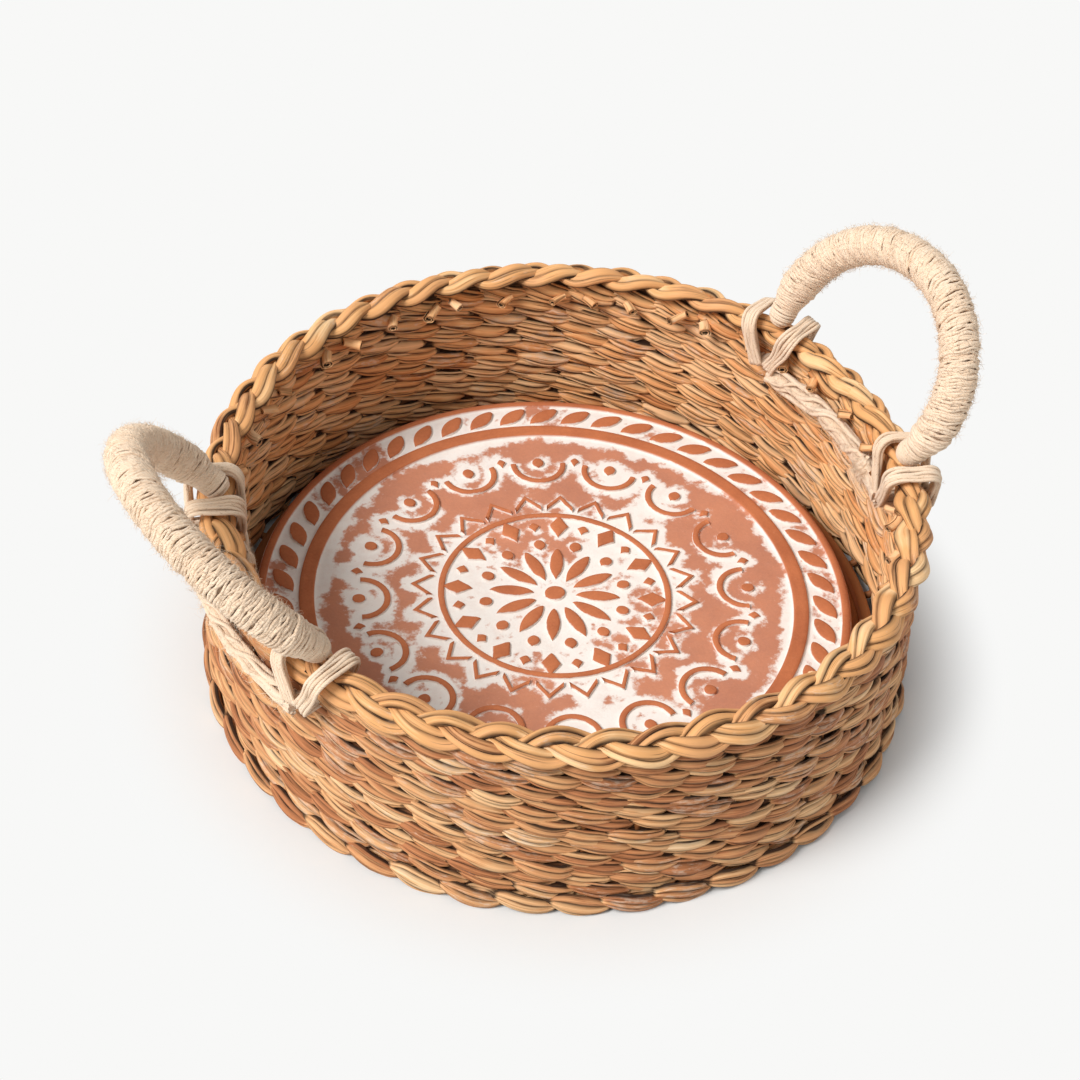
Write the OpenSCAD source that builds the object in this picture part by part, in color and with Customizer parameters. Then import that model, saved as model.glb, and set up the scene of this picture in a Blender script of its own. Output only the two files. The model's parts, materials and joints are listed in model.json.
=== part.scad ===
// Round bread warmer basket: a twined wall on upright stakes, a plaited rim, two wound handles
// lashed over the rim, and a loose clay warming tile lying inside.
// The origin is the centre of the underside, the handles stand at +X and -X, and +Z is up.

/* [Wall] */
// Radius of the circle that the rim follows
rim_r = 120; // [105:1:140]
// Lean of the wall, inwards from foot to rim, in degrees
wall_lean = 1.6; // [0.5:0.1:4]
// Number of upright stakes
stakes = 44; // [36:4:48]
// Diameter of a stake
stake_d = 2.6; // [2:0.1:3]
// Number of woven rows in the wall
wall_rows = 12; // [8:1:13]
// Height that one woven row takes up
row_pitch = 5.18; // [5:0.01:6.4]
// Thickness of one weaver across the wall
weaver_t = 4; // [3.2:0.1:4.4]
// Diameter of the thick row at the foot of the wall
foot_d = 7.6; // [7:0.1:8.4]
// Depth of the flat that the foot row rests on
foot_flat = 0.5; // [0.3:0.1:0.8]

/* [Base] */
// Height of the woven base above the surface below it
base_lift = 0.5; // [0.3:0.1:1]
// Thickness of one weaver in the base
base_weaver_t = 3.2; // [2.6:0.1:3.6]
// Number of woven rings in the base
base_rings = 17; // [12:1:22]
// Radius of the crossed rods at the centre of the base
cross_r = 23; // [18:0.5:30]
// Radius of the bend from the base into the wall
bend_r = 4; // [3:0.1:5]

/* [Rim] */
// Number of times the three strands of the plait repeat round the rim
plait_repeats = 15; // [12:1:18]
// Sway of a strand to each side of the plait
plait_sway = 4; // [3.8:0.1:4.2]
// Rise and fall of a strand in the plait
plait_rise = 3.2; // [3:0.1:3.4]
// Width of a strand in the plait
strand_w = 4.4; // [3.6:0.1:4.6]
// Thickness of a strand in the plait
strand_t = 4; // [3:0.1:4.2]
// Diameter of the cut stake ends under the rim
end_d = 3.4; // [2.6:0.1:4]
// Length of the cut stake ends, out from the wall
end_reach = 3.6; // [2:0.1:5]
// Slant of the cut stake ends, in degrees
end_slant = 12; // [0:1:15]

/* [Tile] */
// Gap between the wall and the edge of the warming tile, with the tile in the middle
tile_gap = 8.9; // [6:0.1:20]
// Thickness of the tile
tile_t = 13.6; // [10:0.1:18]
// Radius of the tile's rounded edges
tile_edge_r = 2.5; // [1:0.1:4]
// Depth of the carved ground below the tile's face
relief = 1.2; // [0.6:0.1:2]
// How far the tile lies off the centre of the basket
tile_shift = 1.5; // [0:0.1:2.5]
// Direction in which it lies off the centre, in degrees from +X
tile_shift_angle = 149; // [0:1:359]
// Width of the tile's plain outer lip
lip_w = 4; // [3:0.1:6]
// Width of the carved rope border
rope_w = 11.4; // [9:0.1:14]
// Number of leaves in the rope border
rope_leaves = 50; // [36:2:64]
// Width of the plain ring inside the rope border
ring_w = 6; // [4:0.1:8]
// Width of the bare ground round the field's ornament
margin_w = 4; // [2:0.1:6]
// Length of a leaf in the rope border
leaf_len = 13.4; // [10:0.1:14]
// Width of a leaf in the rope border
leaf_w = 5.4; // [4:0.1:5.8]
// Slant of the leaves against the border, in degrees
rope_slant = 36; // [20:1:50]
// Number of petals round the centre of the field
petals = 12; // [8:1:14]
// Length of a petal
petal_len = 16; // [10:0.5:18]
// Width of a petal
petal_w = 5.2; // [4:0.1:6]
// Diameter of the small round beads
bead_d = 4.6; // [3:0.1:5]
// Length of the lozenges
lozenge_len = 11; // [8:0.5:12]
// Width of the lozenges
lozenge_w = 7.6; // [5:0.1:8]
// Length of the chevrons, from back to point
chevron_len = 6; // [4:0.5:8]
// Width of the chevrons
chevron_w = 9.6; // [7:0.1:10]
// Width of a chevron's arms, and of the thin rings
chevron_arm = 2.4; // [1.6:0.1:3]
// Radius of the arches at the edge of the field
arch_r = 10.6; // [8:0.1:11]

/* [Handles] */
// Height of the crown of a handle's centre line above its hinge
handle_h = 55; // [45:0.5:70]
// Diameter of the rope core of a handle
core_d = 9.2; // [8:0.1:10]
// Diameter of the round foot at each end of the core, on which the handle swings
ball_d = 10; // [9.4:0.1:10.6]
// How far that foot sinks in between the strands of the plait
ball_sink = 0.8; // [0:0.1:1]
// Thickness of the yarn wound on the core
wrap_t = 2.4; // [2:0.1:3]
// Turns of yarn on each handle
wrap_turns = 24; // [16:1:24]
// Gap left between two turns of yarn
wrap_gap = 0.3; // [0.2:0.05:1]
// Bare length of core at each foot of a handle
neck = 8.5; // [7:0.5:12]
// Outward lean of the right handle, in degrees
right_lean = 20; // [0:1:40]
// Outward lean of the left handle, in degrees
left_lean = 42; // [0:1:55]
// How far the crown of the right handle lies towards -Y from the middle of its hinge line
right_drift = 12; // [0:0.5:16]
// How far the crown of the left handle lies towards +Y from the middle of its hinge line
left_drift = 8; // [0:0.5:16]

/* [Lashings] */
// Diameter of the cord that is lashed over the rim
lash_d = 4.2; // [3.6:0.1:4.4]
// Diameter of the lashing where it is pulled through the wall
lash_pass_d = 3.2; // [2.4:0.1:3.6]
// Half the spread of the two lashing loops on top of the rim
lash_spread = 7.8; // [7.4:0.1:8.4]
// Half the gap between the loops where they go through the wall
lash_pinch = 2.4; // [2.2:0.1:3]
// Radius of a loop's two bends on top of the rim
lash_bend = 5; // [4:0.5:6]
// Clearance between the lashing loops and the plait
lash_gap = 0.5; // [0.3:0.1:1]
// Diameter of the cord that runs along the wall between the feet
run_d = 3.8; // [3:0.1:4.2]
// Gap between a lashing and the cord that starts beside it
run_gap = 1.2; // [1:0.1:2]
// How far that cord hangs below the holes of the lashings
run_drop = 1.2; // [1:0.1:2]
// Width of the knot in that cord
knot_w = 5; // [4:0.1:5.2]
// Height of the knot in that cord
knot_h = 11; // [9:0.1:14]
// Place of the knot along the wall, in degrees from the middle of the handle
knot_angle = -12; // [-13:0.5:-11]

/* [Fits] */
// Clearance between pieces that are woven or laid against each other
fit = 0.1; // [0.05:0.01:0.15]
// Clearance between pieces that move on each other
seat = 0.3; // [0.2:0.05:0.4]

/* [Hidden] */
$fn = 64;
STRAND_SIDES = 5;
RINGS_PER_REPEAT = 12;
WEAVER_SIDES = 8;
FOOT_SIDES = 12;
WRAP_SIDES = 6;
RINGS_PER_TURN = 15;

// Colours as the piece shows them
SEAGRASS = [0.79, 0.60, 0.38];
SEAGRASS_INSIDE = [0.66, 0.43, 0.27];
RIM_GRASS = [0.87, 0.67, 0.42];
JUTE = [0.93, 0.86, 0.73];
CLAY = [0.75, 0.42, 0.29];

// Heights of the foot, the base and the rows above them
foot_z = foot_d / 2 - foot_flat;
base_z = base_lift + base_weaver_t + fit + stake_d / 2;
rows_z = foot_z + foot_d / 2 + fit;
wall_top = rows_z + wall_rows * row_pitch;
base_under_z = base_z - stake_d / 2 - fit - base_weaver_t / 2;
base_over_z = base_z + stake_d / 2 + fit + base_weaver_t / 2;
base_top = base_over_z + base_weaver_t / 2;

// The bend of a stake, whose upright reaches the rim's radius at the top of the wall
bend_z = base_z + bend_r;
bend_at = rim_r - bend_r / cos(wall_lean) + (wall_top - bend_z) * tan(wall_lean);
foot_r = bend_at + sqrt(pow(bend_r + stake_d / 2 + fit + foot_d / 2, 2) - pow(bend_z - foot_z, 2));

// The rim, a plait whose strands turn at 60 degrees on either side of their highest point
rim_half_w = plait_sway + strand_w / 2;
rim_half_h = plait_rise * sin(60) + strand_t / 2;
rim_z = wall_top + seat + rim_half_h;
rim_top = rim_z + rim_half_h;

// The tile on the base
tile_z = base_top + seat;
tile_face = tile_z + tile_t;
tile_d = round(2 * (inner_face(tile_face) - tile_gap));

// The handle's hinge line, through its two feet, which stand between stakes
foot_angle = 2.5 * 360 / stakes;
hinge_half = rim_r * sin(foot_angle);
hinge_x = rim_r * cos(foot_angle);
hinge_z = rim_top - ball_sink + seat + ball_d / 2;

// The lashing loops, clear of the plait, and the hole where they go through the wall
loop_r = rim_half_w + lash_gap + lash_d / 2;
loop_top = rim_top + lash_gap + lash_d / 2;
pass_z = rows_z + (wall_rows - 1) * row_pitch;
run_z = pass_z - run_drop;
run_end = foot_angle - angle_of(lash_pinch + lash_d / 2 + run_gap, rim_r);

// The yarn round a handle's core, clear of it where the turns are drawn as chords
wrap_r = core_d / 2 + fit + wrap_t / 2 + core_d / 2 * (1 - cos(180 / RINGS_PER_TURN));

// The tile's carving
rope_out = tile_d / 2 - lip_w;
rope_in = rope_out - rope_w;
ground_r = rope_in - ring_w;
field_r = ground_r - margin_w;

function weaver_name(face, i) = str(face, "_weaver_", i < 10 ? "0" : "", i);

// Radius of the stakes' centre line at a height in the wall
function stake_at(z) = bend_at + bend_r / cos(wall_lean) - (z - bend_z) * tan(wall_lean);

function row_z(i) = rows_z + (i - 0.5) * row_pitch;

function weaver_offset() = stake_d / 2 + fit + weaver_t / 2;

function inner_face(z) = stake_at(z) - weaver_offset() - weaver_t / 2;

function outer_face(z) = stake_at(z) + weaver_offset() + weaver_t / 2;

// Cross-section of a weaver: upright, with a blunt point at its top and its bottom
module weaver_section(width, height) {
    end_r = min(width, height) / 2;
    for (side = [-1, 1]) {
        translate([0, side * (height / 2 - end_r)]) circle(r = end_r, $fn = WEAVER_SIDES);
    }
    square([width, max(0.01, height - 2 * end_r)], center = true);
}

// Ring of a section, round the basket's axis
module ring_at(r, z) {
    rotate_extrude() translate([r, z]) children();
}

// One of the two weavers of a row: face is -1 for the one inside the stakes, 1 for the one outside
module wall_weaver(i, face) {
    z = row_z(i);
    difference() {
        ring_at(stake_at(z) + face * weaver_offset(), z) weaver_section(weaver_t, row_pitch - fit);
        if (i >= wall_rows - 1) lashing_holes();
    }
}

module foot_row() {
    color(SEAGRASS) difference() {
        ring_at(foot_r, foot_z) circle(d = foot_d, $fn = FOOT_SIDES);
        translate([0, 0, -foot_d]) cylinder(r = foot_r + foot_d, h = foot_d);
    }
}

// One stake lies in the base, bends up at the edge and stands in the wall: drawn about its bend
module stake() {
    lying = bend_at - cross_r - fit;
    upright = (wall_top - bend_z - bend_r * sin(wall_lean)) / cos(wall_lean);
    translate([bend_at, 0, bend_z]) rotate([90, 0, 0]) {
        translate([-lying, -bend_r, 0]) rotate([0, 90, 0]) cylinder(d = stake_d, h = lying);
        rotate([0, 0, -90]) rotate_extrude(angle = 90 + wall_lean)
            translate([bend_r, 0]) circle(d = stake_d);
        rotate([0, 0, wall_lean]) translate([bend_r, 0, 0]) rotate([-90, 0, 0])
            cylinder(d = stake_d, h = upright);
    }
}

module stakes() {
    color(SEAGRASS) for (i = [0:stakes - 1]) rotate([0, 0, i * 360 / stakes]) stake();
}

// Two crossed layers of rods that the base starts from
module base_cross() {
    pitch = stake_d + fit;
    half = floor((cross_r - stake_d) / pitch);
    for (i = [-half:half]) {
        reach = sqrt(pow(cross_r - fit, 2) - pow(abs(i) * pitch + stake_d / 2, 2));
        color(SEAGRASS) translate([-reach, i * pitch, base_z - pitch / 2]) rotate([0, 90, 0])
            cylinder(d = stake_d, h = 2 * reach);
        color(SEAGRASS_INSIDE) translate([i * pitch, reach, base_z + pitch / 2]) rotate([90, 0, 0])
            cylinder(d = stake_d, h = 2 * reach);
    }
}

// One face of the woven base: rings side by side, each with a rounded back
module base_weave(z) {
    first = cross_r + fit;
    pitch = (inner_face(rows_z) - fit - first) / base_rings;
    lap = 0.3;
    rotate_extrude() for (i = [0:base_rings - 1]) {
        from = first + i * pitch - (i == 0 ? 0 : lap);
        to = first + (i + 1) * pitch + (i == base_rings - 1 ? 0 : lap);
        translate([(from + to) / 2, z]) rotate([0, 0, 90]) weaver_section(base_weaver_t, to - from);
    }
}

// Point on the centre line of one strand of the plait
function plait_point(strand, i, steps) =
    let (turn = 360 * i / steps, phase = plait_repeats * turn + 120 * strand)
    let (r = rim_r + plait_sway * sin(phase), z = rim_z + plait_rise * sin(2 * phase))
    [r * cos(turn), r * sin(turn), z];

// One of the plait's three strands, closed on itself, as a skin over rings of points
module rim_strand(strand) {
    steps = plait_repeats * RINGS_PER_REPEAT;
    points = [for (i = [0:steps - 1])
        let (here = plait_point(strand, i, steps))
        let (along = unit(plait_point(strand, i + 1, steps) - plait_point(strand, i - 1, steps)))
        let (side = unit(cross([0, 0, 1], along)))
        let (up = cross(along, side))
        for (k = [0:STRAND_SIDES - 1])
            let (a = 90 + 360 * k / STRAND_SIDES)
            here + side * strand_w / 2 * cos(a) + up * strand_t / 2 * sin(a)];
    faces = [for (i = [0:steps - 1], k = [0:STRAND_SIDES - 1])
        let (a = i * STRAND_SIDES + k, b = i * STRAND_SIDES + (k + 1) % STRAND_SIDES)
        let (up = STRAND_SIDES * steps, c = (a + STRAND_SIDES) % up, d = (b + STRAND_SIDES) % up)
        each [[a, d, b], [a, c, d]]];
    color(RIM_GRASS) polyhedron(points, faces);
}

function unit(v) = v / norm(v);

// Cut ends of the stakes, tucked in under the plait and standing out of the wall
module stake_ends() {
    z = row_z(wall_rows) + fit;
    length = end_reach - end_d * sin(end_slant) / 2;
    color(RIM_GRASS) for (i = [0:stakes - 1]) rotate([0, 0, i * 360 / stakes])
        translate([inner_face(z) - fit - end_reach, 0, z]) rotate([0, 90, end_slant])
            cylinder(d = end_d, h = length);
}

// Outline of the tile's section, from its axis outwards, with rounded edges
module tile_section() {
    r = tile_d / 2;
    e = tile_edge_r;
    square([r - e, tile_t]);
    translate([0, e]) square([r, tile_t - 2 * e]);
    for (z = [e, tile_t - e]) translate([r - e, z]) circle(r = e);
}

// Pointed oval, long along X
module lens(length, width) {
    r = (length * length + width * width) / (4 * width);
    intersection() {
        translate([0, r - width / 2]) circle(r = r);
        translate([0, width / 2 - r]) circle(r = r);
    }
}

module lozenge(length, width) {
    polygon([[-length / 2, 0], [0, -width / 2], [length / 2, 0], [0, width / 2]]);
}

// Chevron that points outwards, with arms of even width
module chevron(length, width, arm) {
    polygon([[length / 2, 0], [-length / 2, width / 2], [-length / 2 - arm, width / 2],
        [length / 2 - arm, 0], [-length / 2 - arm, -width / 2], [-length / 2, -width / 2]]);
}

// Half ring that opens outwards
module arch(r, arm) {
    intersection() {
        difference() {
            circle(r = r);
            circle(r = r - arm);
        }
        translate([-r, -r]) square([r, 2 * r]);
    }
}

module around(count, r, phase = 0) {
    for (i = [0:count - 1]) rotate([0, 0, (i + phase) * 360 / count]) translate([r, 0]) children();
}

// Slanted leaves of the rope border
module rope_border() {
    around(rope_leaves, (rope_in + rope_out) / 2) rotate([0, 0, 90 + rope_slant])
        lens(leaf_len, leaf_w);
}

// Radial ornament of the tile's field, in bands from the centre outwards
module field_ornament() {
    circle(d = bead_d * 1.6);
    around(petals, field_r * 0.19) lens(petal_len, petal_w);
    around(petals, field_r * 0.31, 0.5) circle(d = bead_d);
    around(petals, field_r * 0.43) lozenge(lozenge_len, lozenge_w);
    around(petals, field_r * 0.43, 0.5) lozenge(bead_d, bead_d);
    around(2 * petals, field_r * 0.60) chevron(chevron_len, chevron_w, chevron_arm);
    around(petals + 4, field_r * 0.85) arch(arch_r, chevron_arm);
    around(petals + 4, field_r * 0.86) circle(d = bead_d);
    around(petals + 4, field_r * 0.88, 0.5) rotate([0, 0, 180]) lozenge(bead_d, bead_d * 0.8);
}

// The warming tile: a clay disc whose carved ground leaves the ornament standing
module warming_tile() {
    ground = tile_t - relief;
    color(CLAY) translate([tile_shift * cos(tile_shift_angle), tile_shift * sin(tile_shift_angle), tile_z]) {
        difference() {
            rotate_extrude() tile_section();
            translate([0, 0, ground]) difference() {
                cylinder(r = rope_out, h = 2 * relief);
                cylinder(r = rope_in, h = 2 * relief);
            }
            translate([0, 0, ground]) cylinder(r = ground_r, h = 2 * relief);
        }
        translate([0, 0, ground - relief]) linear_extrude(2 * relief) {
            rope_border();
            field_ornament();
        }
        translate([0, 0, ground - relief]) linear_extrude(2 * relief) difference() {
            circle(r = field_r * 0.515);
            circle(r = field_r * 0.515 - chevron_arm);
        }
    }
}

// A handle's centre line is two arcs that meet at the crown: foot is 1 for the arc that ends at
// the foot on +Y, -1 for the other, and drift is how far the crown lies from the middle.
// Radii in hundredths let the two arcs meet face to face.
function arc_r(drift, foot) =
    round(50 * (pow(hinge_half - foot * drift, 2) + pow(handle_h, 2)) / handle_h) / 100;

function arc_start(drift, foot) = asin((arc_r(drift, foot) - handle_h) / arc_r(drift, foot));

function arc_length(drift, foot) = arc_r(drift, foot) * (90 - arc_start(drift, foot)) * PI / 180;

// Place at a length s along the centre line from the foot on +Y, with the outward normal there
function handle_point(s, drift) =
    let (over = s - arc_length(drift, 1))
    let (r = arc_r(drift, over < 0 ? 1 : -1), turn = over / r * 180 / PI)
    [0, drift - r * sin(turn), handle_h - r + r * cos(turn)];

function handle_normal(s, drift) =
    let (over = s - arc_length(drift, 1))
    let (r = arc_r(drift, over < 0 ? 1 : -1), turn = over / r * 180 / PI)
    [0, -sin(turn), cos(turn)];

module handle_core(drift) {
    color(JUTE) for (foot = [-1, 1]) {
        r = arc_r(drift, foot);
        translate([0, drift, handle_h - r]) rotate([90, 0, 90]) rotate([0, 0, 90])
            rotate_extrude(angle = foot * (arc_start(drift, foot) - 90)) translate([r, 0]) circle(d = core_d);
        translate([0, foot * hinge_half, 0]) sphere(d = ball_d);
    }
}

// The yarn is one flat-sided tube that winds from neck to neck
function wrap_pitch(drift) = (arc_length(drift, 1) + arc_length(drift, -1) - 2 * neck) / wrap_turns;

function wrap_point(i, drift) =
    let (s = neck + wrap_pitch(drift) * i / RINGS_PER_TURN, a = 360 * i / RINGS_PER_TURN)
    handle_point(s, drift) + wrap_r * (cos(a) * handle_normal(s, drift) + sin(a) * [1, 0, 0]);

// The six corners of ring i: the tube is as wide as the turns leave room for
function wrap_ring(i, drift) =
    let (s = neck + wrap_pitch(drift) * i / RINGS_PER_TURN, a = 360 * i / RINGS_PER_TURN)
    let (r = arc_r(drift, s < arc_length(drift, 1) ? 1 : -1))
    let (here = wrap_point(i, drift))
    let (along = unit(wrap_point(i + 0.5, drift) - wrap_point(i - 0.5, drift)))
    let (out = cos(a) * handle_normal(s, drift) + sin(a) * [1, 0, 0])
    let (across = unit(cross(along, out)))
    let (room = wrap_pitch(drift) * (1 + wrap_r * cos(a) / r))
    let (half_w = (room * cos(atan(wrap_pitch(drift) / (2 * PI * wrap_r))) - wrap_gap) / 2)
    [for (corner = [[1, 0], [0.55, 1], [-0.55, 1], [-1, 0], [-0.55, -1], [0.55, -1]])
        here + across * half_w * corner[0] + out * wrap_t / 2 * corner[1]];

function least(list) = min([for (v = list) v]);

module handle_winding(drift, name) {
    count = wrap_turns * RINGS_PER_TURN;
    rings = [for (i = [0:count]) wrap_ring(i, drift)];
    gap = least([for (i = [0:count - RINGS_PER_TURN], step = [-1, 0, 1])
        let (j = min(count, i + RINGS_PER_TURN + step))
        for (a = rings[i], b = rings[j]) norm(a - b)]);
    echo(str("least gap between turns of the ", name, " winding, mm: ", gap));
    faces = [for (i = [0:count - 1], k = [0:WRAP_SIDES - 1])
        let (a = i * WRAP_SIDES + k, b = i * WRAP_SIDES + (k + 1) % WRAP_SIDES)
        each [[a, b + WRAP_SIDES, a + WRAP_SIDES], [a, b, b + WRAP_SIDES]]];
    caps = [[for (k = [WRAP_SIDES - 1:-1:0]) k], [for (k = [0:WRAP_SIDES - 1]) count * WRAP_SIDES + k]];
    color(JUTE) polyhedron([for (ring = rings) each ring], concat(faces, caps));
}

// Set a handle, drawn upright over its hinge line, on its side of the basket
module at_handle(side, lean) {
    rotate([0, 0, side > 0 ? 0 : 180]) translate([hinge_x, 0, hinge_z]) rotate([0, lean, 0]) children();
}

// Lay pieces out at one foot of a handle: X runs outwards through the rim, Y along it
module at_foot(side, foot) {
    rotate([0, 0, (side > 0 ? 0 : 180) + foot * foot_angle]) translate([rim_r, 0, 0]) children();
}

// One loop of lashing: over the rim, down both faces of the wall and through it
module lashing_loop(lean) {
    leg = (loop_top - pass_z) / cos(lean) - lash_bend;
    half_w = loop_r - lash_bend;
    rotate([lean, 0, 0]) {
        translate([-half_w, 0, leg + lash_bend]) rotate([0, 90, 0]) cylinder(d = lash_d, h = 2 * half_w);
        for (turn = [0, 180]) rotate([0, 0, turn]) {
            translate([half_w, 0, leg]) rotate([90, 0, 0]) rotate_extrude(angle = 90)
                translate([lash_bend, 0]) circle(d = lash_d);
            translate([loop_r, 0, 0]) cylinder(d = lash_d, h = leg);
            translate([loop_r, 0, 0]) sphere(d = lash_d);
        }
        translate([-loop_r, 0, 0]) rotate([0, 90, 0]) cylinder(d = lash_pass_d, h = 2 * loop_r);
    }
}

module lashing(side, foot) {
    lean = atan((lash_spread - lash_pinch) / (loop_top - pass_z));
    color(JUTE) at_foot(side, foot) for (half = [-1, 1])
        translate([0, half * lash_pinch, pass_z]) lashing_loop(-half * lean);
}

// Openings that the lashings leave between the upper rows
module lashing_holes() {
    hole = lash_pass_d + 2 * fit;
    for (side = [-1, 1], foot = [-1, 1], half = [-1, 1])
        at_foot(side, foot) translate([0, half * lash_pinch, pass_z])
            cube([4 * loop_r, hole, hole], center = true);
}

// Angle in degrees that a length takes up on a circle
function angle_of(length, r) = length / r * 180 / PI;

// Two cords that lie on the wall, one above the other
module run(side, r, from, to) {
    color(JUTE) rotate([0, 0, side > 0 ? 0 : 180]) for (k = [0, 1])
        rotate([0, 0, from]) rotate_extrude(angle = to - from)
            translate([r, run_z - k * (run_d + fit)]) circle(d = run_d);
}

module inner_run(side) {
    r = inner_face(pass_z) - seat - run_d / 2;
    clear = angle_of(knot_w / 2 + seat, r);
    run(side, r, -run_end, knot_angle - clear);
    run(side, r, knot_angle + clear, run_end);
}

module outer_run(side) {
    run(side, outer_face(pass_z) + seat + run_d / 2, -run_end, run_end);
}

// The knot in the inner run, an upright roll of cord
module knot(side) {
    r = inner_face(pass_z) - seat - knot_w / 2;
    color(JUTE) rotate([0, 0, (side > 0 ? 0 : 180) + knot_angle])
        translate([r, 0, run_z - (run_d + fit) / 2]) {
            cylinder(d = knot_w, h = knot_h - knot_w, center = true);
            for (end = [-1, 1]) translate([0, 0, end * (knot_h - knot_w) / 2]) sphere(d = knot_w);
        }
}

base_cross();
color(SEAGRASS) base_weave(base_under_z);  // base_weave_under
color(SEAGRASS_INSIDE) base_weave(base_over_z);  // base_weave_over
stakes();
foot_row();
for (i = [1:wall_rows]) {
    color(SEAGRASS_INSIDE) wall_weaver(i, -1);
    color(SEAGRASS) wall_weaver(i, 1);
}
for (strand = [1:3]) {
    rim_strand(strand);
}
stake_ends();
warming_tile();
at_handle(1, right_lean) handle_core(-right_drift);  // handle_right_core
at_handle(-1, left_lean) handle_core(-left_drift);  // handle_left_core
at_handle(1, right_lean) handle_winding(-right_drift, "right");  // handle_right_winding
at_handle(-1, left_lean) handle_winding(-left_drift, "left");  // handle_left_winding
lashing(1, 1);  // right_lashing_back
lashing(1, -1);  // right_lashing_front
inner_run(1);  // right_inner_run
outer_run(1);  // right_outer_run
knot(1);  // right_knot
lashing(-1, -1);  // left_lashing_back
lashing(-1, 1);  // left_lashing_front
inner_run(-1);  // left_inner_run
outer_run(-1);  // left_outer_run
knot(-1);  // left_knot
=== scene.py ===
# Bread warmer basket: a twined grass wall with a plaited rim, two rope handles wound with jute
# yarn, and a loose carved clay tile. Places and main sizes are measured on the loaded frame.
import json
import math
from dataclasses import dataclass

import bpy
import numpy as np
from bpy.props import FloatProperty, FloatVectorProperty, IntProperty, PointerProperty
from mathutils import Matrix, Vector
from mathutils.kdtree import KDTree


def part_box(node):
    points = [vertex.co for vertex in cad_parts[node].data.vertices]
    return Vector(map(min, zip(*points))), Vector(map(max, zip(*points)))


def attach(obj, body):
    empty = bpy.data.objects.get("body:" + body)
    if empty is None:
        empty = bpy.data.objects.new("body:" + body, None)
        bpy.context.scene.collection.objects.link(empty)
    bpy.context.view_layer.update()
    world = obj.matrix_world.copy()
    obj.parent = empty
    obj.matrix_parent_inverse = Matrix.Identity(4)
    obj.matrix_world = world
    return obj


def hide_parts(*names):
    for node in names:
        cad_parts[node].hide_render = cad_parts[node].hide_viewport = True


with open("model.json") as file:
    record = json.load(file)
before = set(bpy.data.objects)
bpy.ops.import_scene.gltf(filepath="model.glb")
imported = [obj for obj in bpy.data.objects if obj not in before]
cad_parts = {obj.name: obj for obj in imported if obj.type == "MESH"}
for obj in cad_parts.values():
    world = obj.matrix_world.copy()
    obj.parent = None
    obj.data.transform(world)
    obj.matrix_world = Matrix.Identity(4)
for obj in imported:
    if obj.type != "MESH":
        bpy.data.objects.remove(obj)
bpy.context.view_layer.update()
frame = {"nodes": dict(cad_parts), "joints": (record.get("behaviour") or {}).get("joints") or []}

bl_info = {
    "name": "Bread Warmer Basket",
    "version": (1, 0, 0),
    "blender": (4, 5, 0),
    "location": "3D View > Sidebar > Basket",
    "description": "Woven basket with a plaited rim, wound handles and a carved clay tile",
    "category": "Add Mesh",
}

MM = 0.001
TAU = 2 * math.pi
UP = np.array([0.0, 0.0, 1.0])
BASKET = "basket"
WALL_ROWS = sum(1 for name in frame["nodes"] if name.startswith("inner_weaver_"))
STAKES = 44
SEEDS = {"rim": 31, "handles": 50, "lashings": 70, "runs": 90, "ends": 110}


def colour(red, green, blue):
    """Linear colour from the 0 to 255 values that a colour picker shows."""
    return tuple((((c / 255) + 0.055) / 1.055) ** 2.4 if c > 10 else c / 255 / 12.92
                 for c in (red, green, blue)) + (1.0,)


def length(name, default, description):
    """A length that a user can change, with its default in millimetres."""
    return FloatProperty(name=name, description=description, default=default * MM,
                         min=0.0, unit="LENGTH", precision=5)


def angle(name, default, description):
    """An angle that a user can change, with its default in degrees."""
    return FloatProperty(name=name, description=description, default=math.radians(default),
                         subtype="ANGLE")


def tint(name, default, description):
    """A colour that a user can change, with its default from 0 to 255."""
    return FloatVectorProperty(name=name, description=description, default=colour(*default),
                               size=4, min=0.0, max=1.0, subtype="COLOR")


class WeaveSettings(bpy.types.PropertyGroup):
    """Sizes of the twined grass"""
    stitch_height: length("Stitch height", 6.4, "Height of a stitch at its middle")
    stitch_depth: length("Stitch depth", 2.9, "Thickness of a stitch at its middle")
    sway: length("Sway", 2.2, "How far a strand swings to either side of the stakes")
    drop: length("Drop", 1.35, "How far a strand falls and rises as it changes sides")
    foot_height: length("Foot stitch height", 6.9, "Height of a stitch in the foot row")
    foot_depth: length("Foot stitch depth", 4.4, "Thickness of a stitch in the foot row")
    foot_sway: length("Foot sway", 1.5, "Sway of a strand in the foot row")
    foot_drop: length("Foot drop", 1.5, "Drop of a strand in the foot row")
    shingle: angle("Shingle", 9, "Tilt that lifts the lower edge of each blade")
    seed: IntProperty(name="Seed", default=7, description="Start of the random draws")


class RimSettings(bpy.types.PropertyGroup):
    """Sizes of the plaited rim and the twined collar under it"""
    blade_width: length("Blade width", 6.4, "Width of a strand of the plait")
    blade_depth: length("Blade depth", 3.7, "Thickness of a strand of the plait")
    sway: length("Sway", 3.6, "Swing of a strand to each side of the plait")
    rise: length("Rise", 1.5, "Rise and fall of a strand in the plait")
    repeats: IntProperty(name="Repeats", default=15, description="Repeats of the plait")
    roll: angle("Roll", 22, "Outward turn of the plait's face")
    collar_height: length("Collar height", 6.2, "Height of a stitch in the row under the plait")
    collar_depth: length("Collar depth", 3.2, "Thickness of a stitch in the row under the plait")
    collar_sway: length("Collar sway", 2.0, "Sway of a strand in the row under the plait")
    collar_drop: length("Collar drop", 2.3, "Drop of a strand in the row under the plait")


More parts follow.
